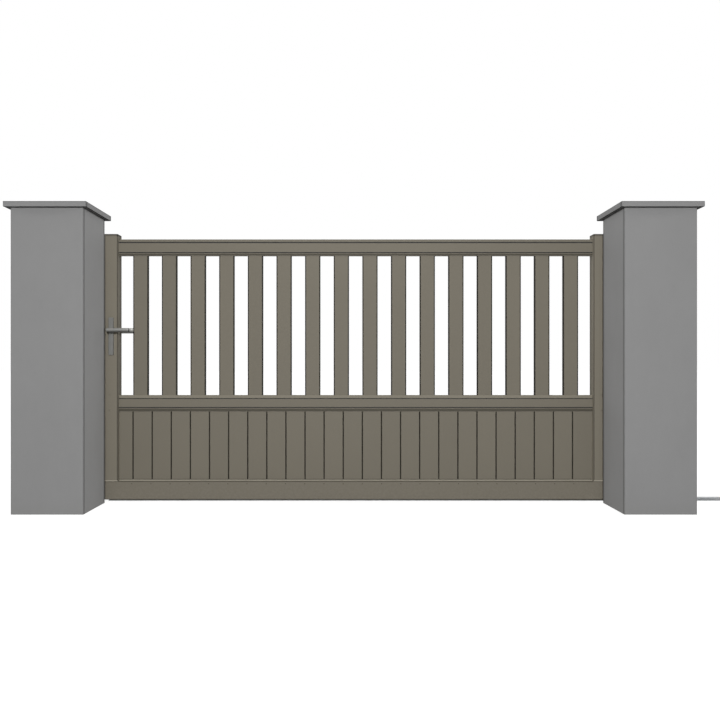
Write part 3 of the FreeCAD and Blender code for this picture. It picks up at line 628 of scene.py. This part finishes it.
def turned(bm, centre, direction, rings, sides):
    """Build a solid round a line: rings are radius, height and, where they aren't round, how many corners.

    A radius of 0 closes an end, and the radius of a ring with corners is to its flats."""
    place = Matrix.Translation(centre) @ Vector(direction).to_track_quat("Z", "Y").to_matrix().to_4x4()
    loops = []
    for radius, height, *corners in rings:
        if radius == 0:
            loops.append([bm.verts.new(place @ Vector((0, 0, height)))])
            continue
        loop = []
        for step in range(sides):
            angle = 2 * math.pi * step / sides
            reach = radius
            if corners:
                sector = 2 * math.pi / corners[0]
                reach = radius / math.cos((angle + sector / 2) % sector - sector / 2)
            point = Vector((reach * math.cos(angle), reach * math.sin(angle), height))
            loop.append(bm.verts.new(place @ point))
        loops.append(loop)
    for lower, upper in zip(loops, loops[1:]):
        for step in range(sides):
            after = (step + 1) % sides
            face = [lower[step % len(lower)], lower[after % len(lower)],
                    upper[after % len(upper)], upper[step % len(upper)]]
            bm.faces.new(list(dict.fromkeys(face)))


def closed(bm):
    """Join the first and last ring of turned solids that are hollow."""
    bmesh.ops.remove_doubles(bm, verts=bm.verts, dist=1e-7)
    return bm


def quarter(steps, start=0):
    """The sine and cosine of each step of a quarter turn."""
    angles = [math.radians(90 * step / steps) for step in range(start, steps + 1)]
    return [(math.sin(angle), math.cos(angle)) for angle in angles]


def strip(bm, ends, face, side, foot, section, steps=24):
    """Run a section from one end to the other along X, on the front face or the back face of the leaf."""
    loops = []
    for step in range(steps + 1):
        x = ends[0] + (ends[1] - ends[0]) * step / steps
        loops.append([bm.verts.new((x, face + side * proud, foot + height)) for proud, height in section])
    skin(bm, loops)


def rail_strip(bm, node, side, foot, section):
    """Run a section along a rail's front or back."""
    low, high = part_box(node)
    strip(bm, (low.x + 0.0005, high.x - 0.0005), low.y if side < 0 else high.y, side, foot, section)


def pan_screw(radius, height, socket):
    """Rings of a domed screw head with a six-sided socket."""
    return [
        (0, 0), (radius, 0), (radius, height * 0.25), (radius * 0.93, height * 0.6),
        (radius * 0.75, height * 0.88), (radius * 0.55, height), (socket, height, 6),
        (socket * 0.94, height * 0.35, 6), (0, height * 0.3),
    ]


def hex_bolt(flats, height, washer, stud):
    """Rings of a washer, a chamfered nut and the end of its stud."""
    half = flats / 2
    return [
        (0, 0), (washer, 0), (washer, height * 0.12), (washer * 0.96, height * 0.18),
        (half, height * 0.18, 6), (half, height * 0.72, 6), (half * 0.97, height * 0.8),
        (stud * 1.12, height * 0.8), (stud, height * 0.76), (stud, height), (stud * 0.8, height * 1.06),
        (0, height * 1.06),
    ]


def fixings(name, slot, body, places, rings, sides=36, finish=None):
    """A group of like screws or bolts as one piece: places are pairs of a centre and a direction."""
    bm = bmesh.new()
    for centre, direction in places:
        turned(bm, centre, direction, rings, sides)
    show(bm, name, slot, body, finish=finish, smooth=math.radians(30))


# Settings

def colour_setting(name, what, colour):
    """The colour of what is named, which starts as one of the record's slots or as the numbers given."""
    return FloatVectorProperty(
        name=name, description=f"Colour of {what}", subtype="COLOR", size=3, min=0, max=1,
        default=SLOT_COLOUR.get(colour, colour))


def length_setting(name, description, low, high, default):
    return FloatProperty(
        name=name, description=description, unit="LENGTH", min=low, max=high, default=default)


def strength_setting(name, what, high, default):
    return FloatProperty(name=name, description=f"Strength of {what}", min=0.0, max=high, default=default)


class GateFinishes(bpy.types.PropertyGroup):
    """Colours of the gate's finishes."""
    render_colour: colour_setting("Painted render", "the piers' painted render", "painted_render")
    coping_colour: colour_setting("Coping", "the piers' coping slabs", "coping")
    coat_colour: colour_setting("Powder coat", "the coat on the leaf", "powder_coat")
    plastic_colour: colour_setting("Plastic caps", "the caps and plugs", "coloured_plastic")
    # The trims' colour is the coat lightened, painted light for the lit top edge of the bottom rail
    trim_colour: colour_setting("Trim coat", "the coat on the light trims", (0.42, 0.39, 0.32))
    metal_colour: colour_setting("Handle metal", "the handle plates and levers", "satin_metal")
    zinc_colour: colour_setting("Zinc", "the galvanised track, stop, catch and bracket", "galvanised_steel")
    steel_colour: colour_setting("Turned steel", "the wheels, pins and bolts", "turned_steel")
    nylon_colour: colour_setting("Nylon", "the guide roller", "nylon")
    rubber_colour: colour_setting("Rubber", "the buffers and gaskets", "black_rubber")
    bead_colour: colour_setting("Bead rubber", "the beads, seals and board plugs", (0.078, 0.071, 0.055))


class GateSizes(bpy.types.PropertyGroup):
    """Sizes of the gate's small parts."""
    corner_ease: length_setting("Pier corner", "Radius of the render's rounded corners", 0.0, 0.02, 0.004)
    render_relief: length_setting(
        "Render relief", "How far the floated render dips below its flat face", 0.0, 0.003, 0.0006)
    gasket: length_setting(
        "Gasket", "Height of the black gaskets beside the rails' channels", 0.001, 0.012, 0.006)
    screw_head: length_setting("Screw head", "Diameter of the pan-head screws", 0.004, 0.014, 0.009)


class GateStudio(bpy.types.PropertyGroup):
    """Light and camera of the stage."""
    daylight: strength_setting("Daylight", "the even light from all round", 2.0, 0.16)
    back_light: strength_setting("Back light", "the broad soft light behind the gate", 4.0, 1.8)
    front_lamp: strength_setting("Front lamp", "the soft lamp before the gate", 10.0, 2.36)
    left_sun: strength_setting("Left sun", "the soft sun from the left, along the gate", 10.0, 0.75)
    right_sun: strength_setting("Right sun", "the soft sun from the right, along the gate", 10.0, 0.9)
    camera_height: length_setting("Camera height", "Height of the camera above the ground", 0.2, 3.0, 0.830)
    camera_distance: length_setting(
        "Camera distance", "Distance from the camera to the middle plane of the piers", 1.0, 10.0, 3.383)


GROUPS = {"gate_finishes": GateFinishes, "gate_sizes": GateSizes, "gate_studio": GateStudio}


# Pieces

class GateStep:
    """What the gate's operators share: each builds one step of it."""

    def execute(self, context):
        self.build(context.scene)
        return {"FINISHED"}


def pier_outline(low, high, corner, spacing):
    """Points round a pier with rounded corners, about spacing apart."""
    corner_steps = 4
    path = []
    for x, y, start in ((high.x, high.y, 0), (low.x, high.y, 90), (low.x, low.y, 180), (high.x, low.y, 270)):
        centre_x = x - math.copysign(corner, x - (low.x + high.x) / 2)
        centre_y = y - math.copysign(corner, y - (low.y + high.y) / 2)
        for step in range(corner_steps + 1):
            angle = math.radians(start + 90 * step / corner_steps)
            path.append(Vector((centre_x + corner * math.cos(angle), centre_y + corner * math.sin(angle), 0)))
    outline = []
    for point, after in zip(path, path[1:] + path[:1]):
        parts = max(1, round((after - point).length / spacing))
        outline += [point.lerp(after, part / parts) for part in range(parts)]
    return outline


def pier_shell(node, relief, corner):
    """Upright render shell whose faces dip a little between their edges."""
    spacing, flat_edge = 0.013, 0.05
    low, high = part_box(node)
    middle = Vector(((low.x + high.x) / 2, (low.y + high.y) / 2, 0))
    outline = pier_outline(low, high, corner, spacing)
    levels = max(2, round((high.z - low.z) / spacing))
    bm = bmesh.new()
    loops = []
    for level in range(levels + 1):
        z = low.z + (high.z - low.z) * level / levels
        loop = []
        for point in outline:
            spot = Vector((point.x, point.y, z))
            wave = noise.noise(spot * 9) * 0.6 + noise.noise(spot * 31) * 0.4
            edge = min(high.x - point.x, point.x - low.x) + min(high.y - point.y, point.y - low.y)
            dip = relief * (0.5 + 0.5 * wave) * min(1.0, edge / flat_edge)
            inwards = middle - point
            if abs(inwards.x) * (high.y - low.y) > abs(inwards.y) * (high.x - low.x):
                inwards.y = 0
            else:
                inwards.x = 0
            loop.append(bm.verts.new(spot + inwards.normalized() * dip))
        loops.append(loop)
    skin(bm, loops)
    return bm


class GATE_OT_piers(GateStep, bpy.types.Operator):
    """Render the two piers"""
    bl_idname = "gate.piers"
    bl_label = "Piers"

    def build(self, scene):
        sizes = scene.gate_sizes
        for node in ("left_pier", "right_pier"):
            bm = pier_shell(node, sizes.render_relief, sizes.corner_ease)
            show(bm, f"{node}_render", "painted_render", "posts", [node])


class GATE_OT_eased_parts(GateStep, bpy.types.Operator):
    """Show the copings, rails, plates and brackets with eased edges"""
    bl_idname = "gate.eased_parts"
    bl_label = "Eased parts"

    def build(self, scene):
        own = {"middle_rail": "middle_rail_coat"}
        for node, ease in EASED_NODES.items():
            bm = eased(node, ease)
            piece = show(bm, f"{node}_eased", SLOT_OF[node], BODY_OF[node], [node], own.get(node))
            even_normals = piece.modifiers.new("even_normals", "WEIGHTED_NORMAL")
            even_normals.keep_sharp = True


class GATE_OT_coats(GateStep, bpy.types.Operator):
    """Give the nodes that keep their shape their finishes"""
    bl_idname = "gate.coats"
    bl_label = "Coats"

    def build(self, scene):
        own = {"lower_panel": "board_coat", **dict.fromkeys(SLATS, "slat_coat")}
        own.update(dict.fromkeys(STILES, "stile_coat"))
        own.update({name: SLOT_OF[name] for name in PLAIN_NODES})
        for name, finish in own.items():
            for slot in frame["nodes"][name].material_slots:
                slot.material = finish_of(finish)


class GATE_OT_gaskets(GateStep, bpy.types.Operator):
    """Press black gaskets with a cover lip where the rails' boxes meet their channels, also as painted shade
    lines.
    """
    bl_idname = "gate.gaskets"
    bl_label = "Gaskets"

    def build(self, scene):
        size = scene.gate_sizes.gasket
        # The dark gaskets also stand in for the shade lines along the edges of the rails' boxes
        bm = bmesh.new()
        for node, lower_shift, lower_share, upper_shift, upper_share in (
                ("top_rail", -0.0012, 0.8, 0.0, 1.15), ("middle_rail", 0.0048, 0.95, -0.0006, 0.75)):
            low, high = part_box(node)
            lower = (low.z + RAIL_LIP + lower_shift, -size * lower_share)
            upper = (high.z - RAIL_LIP + upper_shift, size * upper_share)
            for middle, tall in (lower, upper):
                section = [(proud, share * tall) for proud, share in GASKET]
                for side in (-1, 1):
                    rail_strip(bm, node, side, middle, section)
        show(bm, "rail_gaskets", "black_rubber", "leaf")


class GATE_OT_beads(GateStep, bpy.types.Operator):
    """Clip the dark glazing beads over the channels' lips and along the boards' feet, as painted shade too.
    """
    bl_idname = "gate.beads"
    bl_label = "Glazing beads"

    def build(self, scene):
        bm = bmesh.new()
        # The dark beads stand in for the shade under the rails' boxes and along the boards' feet
        start = 0.0028
        for node, rise in (("top_rail", 0.0108), ("middle_rail", 0.0155)):
            section = [(-0.0036, start), (-0.0016, start), (-0.0011, start + 0.0014), (-0.0011, rise - 0.003),
                       (-0.0018, rise - 0.001), (-0.0036, rise)]
            for side in (-1, 1):
                rail_strip(bm, node, side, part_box(node)[0].z, section)
        for side in (-1, 1):
            rail_strip(bm, "middle_rail", side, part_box("bottom_rail")[1].z, SILL_BEAD)
        show(bm, "glazing_beads", "black_rubber", "leaf", finish="bead_rubber")


class GATE_OT_sill_trim(GateStep, bpy.types.Operator):
    """Lay the light trim along the bottom rail's top as painted light, and the seals below it as painted
    shade.
    """
    bl_idname = "gate.sill_trim"
    bl_label = "Sill trim"

    def build(self, scene):
        low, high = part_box("bottom_rail")
        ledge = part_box("lock_stile")[0].z
        trim, seal = bmesh.new(), bmesh.new()
        for face, side in ((low.y, -1), (high.y, 1)):
            rail_strip(trim, "middle_rail", side, ledge, SILL_TRIM)
            for stile in STILES:
                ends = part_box(stile)[0].x + 0.001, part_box(stile)[1].x - 0.001
                strip(trim, ends, face, side, ledge, STILE_TRIM, 1)
            # The dark seals stand in for the shade lines at the boards' foot and under the leaf
            for foot, section in ((ledge, LEDGE_SEAL), (low.z, FOOT_SEAL)):
                strip(seal, (low.x, high.x), face, side, foot, section)
        # The light trim stands in for the lit top edge of the bottom rail
        show(trim, "sill_trim", "powder_coat", "leaf", finish="trim_coat")
        show(seal, "sill_seal", "black_rubber", "leaf", finish="bead_rubber")


def lever_rings(radius, heel, length):
    """Rings of a lever's grip from its heel to its knob."""
    heel_ease, knob_ease, neck = 0.0045, 0.003, 0.0095
    ring_at = length - KNOB_LENGTH - RING_WIDTH
    ring_end = ring_at + RING_WIDTH
    rings = [(0, -heel), (radius - 2 * heel_ease, -heel)]
    rings += [(radius - heel_ease + heel_ease * sine, heel_ease - heel - heel_ease * cosine)
              for sine, cosine in quarter(6)]
    rings += [(radius, ring_at * step / 12) for step in range(1, 13)]
    rings += [
        (radius * 0.99, ring_at + 0.0003), (neck + 0.0006, ring_at + 0.0004), (neck, ring_at + 0.0008),
        (neck, ring_end - 0.0005), (neck + 0.0006, ring_end - 0.0001), (radius * 0.985, ring_end),
        (radius, ring_end + 0.0005), (radius, length - knob_ease),
    ]
    rings += [(radius - knob_ease + knob_ease * cosine, length - knob_ease + knob_ease * sine)
              for sine, cosine in quarter(6, 1)]
    rings.append((0, length))
    return rings


class GATE_OT_levers(GateStep, bpy.types.Operator):
    """Turn the two levers with their necks, roses and knobs"""
    bl_idname = "gate.levers"
    bl_label = "Levers"

    def build(self, scene):
        x, z = span("spindle", "x")[0], span("spindle", "z")[0]
        flare, flare_start, flare_end = 0.0012, 0.012, 0.004
        for node, direction in (("front_lever", FRONT), ("back_lever", BACK)):
            low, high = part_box(node)
            radius = (high.z - low.z) / 2
            y, inner = (low.y + radius, high.y) if direction == FRONT else (high.y - radius, low.y)
            bm = bmesh.new()
            turned(bm, (x, y, z), RIGHT, lever_rings(radius, x - low.x, high.x - x), 64)
            reach = abs(inner - y)
            neck = x - low.x
            rings = [(0, 0), (neck - 0.0005, 0), (neck, 0.0005), (neck, reach - flare_start)]
            rings += [(neck + flare * share * share, reach - flare_start + (flare_start - flare_end) * share)
                      for share in (0.2, 0.4, 0.6, 0.8, 1.0)]
            rings.append((0, reach - flare_end))
            turned(bm, (x, inner, z), direction, rings, 48)
            show(bm, f"{node}_turned", "satin_metal", "lever", [node])


class GATE_OT_wheels(GateStep, bpy.types.Operator):
    """Turn the wheels with their grooves, and the seals of their bearings"""
    bl_idname = "gate.wheels"
    bl_label = "Wheels"

    def build(self, scene):
        low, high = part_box("wheels")
        middle = (low + high) / 2
        rim, half, bore = (high.z - low.z) / 2, (high.y - low.y) / 2, 0.0078
        near = [
            (bore, -half), (0.0175, -half), (0.018, -half + 0.0012), (0.023, -half + 0.0012), (0.0235, -half),
            (rim - 0.0015, -half), (rim, -half + 0.0015), (rim, -0.0095), (rim - 0.0006, -0.0088),
            (rim - 0.0085, -0.0006),
        ]
        rings = near + [(radius, -height) for radius, height in reversed(near)] + near[:1]
        bearing = [(0.0178, 0.0014), (0.0185, 0.0006), (0.0225, 0.0006), (0.0232, 0.0014), (0.0178, 0.0014)]
        wheels, seals = bmesh.new(), bmesh.new()
        for x in (low.x + rim, high.x - rim):
            centre = (x, middle.y, middle.z)
            turned(wheels, centre, BACK, rings, 96)
            for side in (-1, 1):
                turned(seals, centre, BACK, [(radius, side * (half - sunk)) for radius, sunk in bearing], 64)
        show(closed(wheels), "wheels_turned", "turned_steel", "leaf", ["wheels"])
        show(closed(seals), "bearing_seals", "black_rubber", "leaf")


class GATE_OT_guide(GateStep, bpy.types.Operator):
    """Turn the guide roller and its pin"""
    bl_idname = "gate.guide"
    bl_label = "Top guide"

    def build(self, scene):
        low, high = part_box("guide_roller")
        x, y = (low.x + high.x) / 2, (low.y + high.y) / 2
        radius, tall, bore = (high.x - low.x) / 2, high.z - low.z, 0.0053
        rings = [
            (bore, 0), (radius - 0.0015, 0), (radius - 0.0004, 0.0004), (radius, 0.0015),
            (radius, tall - 0.0015), (radius - 0.0004, tall - 0.0004), (radius - 0.0015, tall), (bore, tall),
            (bore, 0),
        ]
        bm = bmesh.new()
        turned(bm, (x, y, low.z), UP, rings, 72)
        show(closed(bm), "guide_roller_turned", "nylon", "posts", ["guide_roller"])

        roller_top = high.z
        low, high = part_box("guide_pin")
        nut_height, arm_thickness = 0.007, 0.012
        arm_top = high.z - nut_height
        arm_base = arm_top - arm_thickness
        rings = [
            (0, low.z), (0.0042, low.z), (0.005, low.z + 0.0008), (0.005, roller_top + 0.0003),
            (0.0085, roller_top + 0.0003), (0.009, roller_top + 0.0008), (0.009, arm_base - 0.0012),
            (0.005, arm_base - 0.0002), (0.005, arm_top), (0.0088, arm_top, 6), (0.0088, high.z - 0.0012, 6),
            (0.0082, high.z), (0, high.z),
        ]
        bm = bmesh.new()
        turned(bm, (x, y, 0), UP, rings, 60)
        show(bm, "guide_pin_turned", SLOT_OF["guide_pin"], "posts", ["guide_pin"])


class GATE_OT_buffer(GateStep, bpy.types.Operator):
    """Mould the open stop's buffer"""
    bl_idname = "gate.buffer"
    bl_label = "Buffer"

    def build(self, scene):
        low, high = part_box("stop_buffer")
        middle = (low + high) / 2
        radius, length, dome = (high.z - low.z) / 2, high.x - low.x, 0.008
        rings = [(0, 0), (radius - 0.001, 0), (radius, 0.001), (radius, length * 0.55)]
        rings += [(radius - dome + dome * cosine, length * 0.55 + length * 0.45 * sine)
                  for sine, cosine in quarter(8, 1)]
        rings += [(0.007, length), (0.0065, length - 0.004), (0, length - 0.004)]
        bm = bmesh.new()
        turned(bm, (high.x, middle.y, middle.z), LEFT, rings, 72)
        show(bm, "stop_buffer_moulded", "black_rubber", "posts", ["stop_buffer"])


class GATE_OT_leaf_screws(GateStep, bpy.types.Operator):
    """Set the screws and plugs of the stiles, boards, plates, lock and end plugs"""
    bl_idname = "gate.leaf_screws"
    bl_label = "Leaf screws"

    def build(self, scene):
        head = scene.gate_sizes.screw_head / 2
        pan = pan_screw(head, height=0.0028, socket=head * 0.45)
        small = pan_screw(0.0036, height=0.0012, socket=0.0015)

        low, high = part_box("lock_stile")
        rail_low, rail_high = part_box("middle_rail")
        above_foot, above_top = 0.0103, 0.005
        places = [((span(stile, "x")[0], y, z), direction)
                  for stile in STILES
                  for z in (rail_low.z + above_foot, rail_high.z + above_top)
                  for y, direction in ((low.y, FRONT), (high.y, BACK))]
        fixings("stile_screws", "powder_coat", "leaf", places, pan)

        low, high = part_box("bottom_rail")
        first, pitch = groove_spacing()
        grooves = [first + index * pitch for index in range(len(SLATS) * 3 // 2)]
        below_top = 0.0215
        places = [((x, y, high.z - below_top), direction)
                  for x in grooves if low.x < x < high.x
                  for y, direction in ((low.y, FRONT), (high.y, BACK))]
        fixings("board_plugs", "black_rubber", "leaf", places, PLUG, 24, "bead_rubber")

        low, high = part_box("back_handle_plate")
        x, inset = (low.x + high.x) / 2, 0.013
        places = [((x, high.y, z), BACK) for z in (low.z + inset, high.z - inset)]
        fixings("handle_plate_screws", "turned_steel", "leaf", places, small)

        low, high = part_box("mortise_lock")
        y, inset = (low.y + high.y) / 2, 0.012
        places = [((low.x, y, z), LEFT) for z in (low.z + inset, high.z - inset)]
        fixings("lock_face_screws", "turned_steel", "leaf", places, small)

        low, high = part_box("end_plugs")
        above_foot, inset = 0.085, 0.010
        places = [((x, y, low.z + above_foot), direction)
                  for x, direction in ((low.x, LEFT), (high.x, RIGHT))
                  for y in (low.y + inset, high.y - inset)]
        fixings("end_plug_screws", "turned_steel", "leaf", places, small)


class GATE_OT_ground_bolts(GateStep, bpy.types.Operator):
    """Set the screws and bolts of the track, stop and bracket"""
    bl_idname = "gate.ground_bolts"
    bl_label = "Track and pier bolts"

    def build(self, scene):
        low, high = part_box("ground_rail")
        middle = (low.y + high.y) / 2
        screw_pairs, end_distance, from_middle, plate = 4, 0.1, 0.015, 0.004
        pitch = (high.x - low.x - 2 * end_distance) / (screw_pairs - 1)
        places = [((low.x + end_distance + index * pitch, middle + side * from_middle, plate), UP)
                  for index in range(screw_pairs) for side in (-1, 1)]
        fixings("track_screws", "turned_steel", "posts", places, COUNTERSUNK)

        square = [(-1, -1), (-1, 1), (1, -1), (1, 1)]
        low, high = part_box("open_stop")
        x, y, plate = low.x + 0.049, (low.y + high.y) / 2, 0.008
        places = [((x + along * 0.025, y + across * 0.042, plate), UP) for along, across in square]
        nut = hex_bolt(0.017, height=0.016, washer=0.0115, stud=0.005)
        fixings("stop_anchor_nuts", "turned_steel", "posts", places, nut)

        low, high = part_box("guide_bracket")
        x, z, plate = (low.x + high.x) / 2, (low.z + high.z) / 2, 0.008
        places = [((x + along * 0.05, low.y + plate, z + up * 0.045), BACK) for along, up in square]
        nut = hex_bolt(0.013, height=0.013, washer=0.0105, stud=0.004)
        fixings("bracket_anchor_nuts", "turned_steel", "posts", places, nut)


# Stage

def floor_paint():
    """Pale floor that the camera sees as white and that keeps the gate's shadow."""
    graph = new_finish("floor_paint")
    path = graph.node("LightPath", output="Is Camera Ray")
    diffuse = graph.node("BsdfDiffuse", {}, {"Color": FLOOR_COLOUR})
    glow = graph.node("Emission", {}, {"Color": WHITE, "Strength": path * FLOOR_GLOW})
    both = graph.node("AddShader", {}, {0: diffuse, 1: glow})
    graph.node("OutputMaterial", {}, {"Surface": both})
    return graph.material


def sky(daylight, back_light):
    """Even daylight with a broad soft light behind the gate, which the camera and mirrors see as white."""
    world = bpy.data.worlds.new("daylight")
    world.use_nodes = True
    graph = Graph(world.node_tree)
    camera_ray = graph.node("LightPath", output="Is Camera Ray")
    glossy_ray = graph.node("LightPath", output="Is Glossy Ray")
    seen = graph.clamped(camera_ray + glossy_ray)
    way = graph.node("TexCoord", output="Generated")
    towards = tuple(Vector((0, 1, 0.3)).normalized())
    cosine = graph.node("VectorMath", {"operation": "DOT_PRODUCT"}, {0: way, 1: towards}, "Value")
    behind = graph.sum_of("POWER", graph.clamped(cosine), 4.0)
    strength = seen + (1 - seen) * (daylight + behind * back_light)
    shine = graph.node("Background", {}, {"Color": WHITE, "Strength": strength})
    graph.node("OutputWorld", {}, {"Surface": shine})
    return world


def add_light(name, kind, energy, shines, place=(0, 0, 0)):
    """Add a light that shines in a direction, and give its object."""
    light = bpy.data.lights.new(name, kind)
    light.energy = energy
    holder = add_object(name, light)
    holder.location = place
    holder.rotation_euler = Vector(shines).to_track_quat("-Z", "Y").to_euler()
    return holder


class GATE_OT_stage(GateStep, bpy.types.Operator):
    """Set the floor, the light and the camera"""
    bl_idname = "gate.stage"
    bl_label = "Stage"

    def build(self, scene):
        studio = scene.gate_studio
        corners = [(x * FLOOR_REACH, y * FLOOR_REACH, 0) for x, y in ((-1, -1), (1, -1), (1, 1), (-1, 1))]
        mesh = bpy.data.meshes.new("floor")
        mesh.from_pydata(corners, [], [(0, 1, 2, 3)])
        mesh.materials.append(floor_paint())
        add_object("floor", mesh)
        scene.world = sky(studio.daylight, studio.back_light)

        lamp_place = (driveway_middle(), -LAMP_DISTANCE, LAMP_HEIGHT)
        lamp = add_light("front_lamp", "AREA", studio.front_lamp * math.pi, BACK, lamp_place)
        lamp.visible_camera = False
        lamp.data.shape = "DISK"
        lamp.data.size = LAMP_SIZE
        lamp.data.use_nodes = True
        graph = Graph(lamp.data.node_tree)
        even = graph.node("LightFalloff", {}, {"Strength": 1.0}, "Constant")
        shine = graph.node("Emission", {}, {"Strength": even})
        graph.node("OutputLight", {}, {"Surface": shine})

        for name, energy, along in (("left_sun", studio.left_sun, 1), ("right_sun", studio.right_sun, -1)):
            sun = add_light(name, "SUN", energy, (along, 0.12, -0.25))
            sun.data.angle = math.radians(9)

        camera = bpy.data.cameras.new("camera")
        camera.lens = LENS
        camera.sensor_width = SENSOR
        camera.shift_x, camera.shift_y = VIEW_SHIFT
        camera_place = add_object("camera", camera)
        camera_place.location = (driveway_middle(), -studio.camera_distance, studio.camera_height)
        camera_place.rotation_euler = (math.radians(90), 0, 0)
        scene.camera = camera_place
        scene.view_settings.view_transform = "Standard"


class GATE_PT_panel(bpy.types.Panel):
    """Lists the gate's settings and steps"""
    bl_idname = "GATE_PT_panel"
    bl_label = "Driveway gate"
    bl_space_type = "VIEW_3D"
    bl_region_type = "UI"
    bl_category = "Gate"

    def draw(self, context):
        layout = self.layout
        for name in GROUPS:
            group = getattr(context.scene, name)
            box = layout.box()
            for setting in group.__annotations__:
                box.prop(group, setting)
        for step in STEPS:
            layout.operator(step.bl_idname)


STEPS = [
    GATE_OT_piers, GATE_OT_eased_parts, GATE_OT_coats, GATE_OT_gaskets, GATE_OT_beads, GATE_OT_sill_trim,
    GATE_OT_levers, GATE_OT_wheels, GATE_OT_guide, GATE_OT_buffer, GATE_OT_leaf_screws, GATE_OT_ground_bolts,
    GATE_OT_stage,
]
CLASSES = [*GROUPS.values(), *STEPS, GATE_PT_panel]


def register():
    for entry in CLASSES:
        bpy.utils.register_class(entry)
    for name, group in GROUPS.items():
        setattr(bpy.types.Scene, name, PointerProperty(type=group))


def unregister():
    for name in GROUPS:
        delattr(bpy.types.Scene, name)
    for entry in reversed(CLASSES):
        bpy.utils.unregister_class(entry)


def main():
    register()
    for step in STEPS:
        group, name = step.bl_idname.split(".")
        getattr(getattr(bpy.ops, group), name)()


if __name__ == "__main__":
    main()
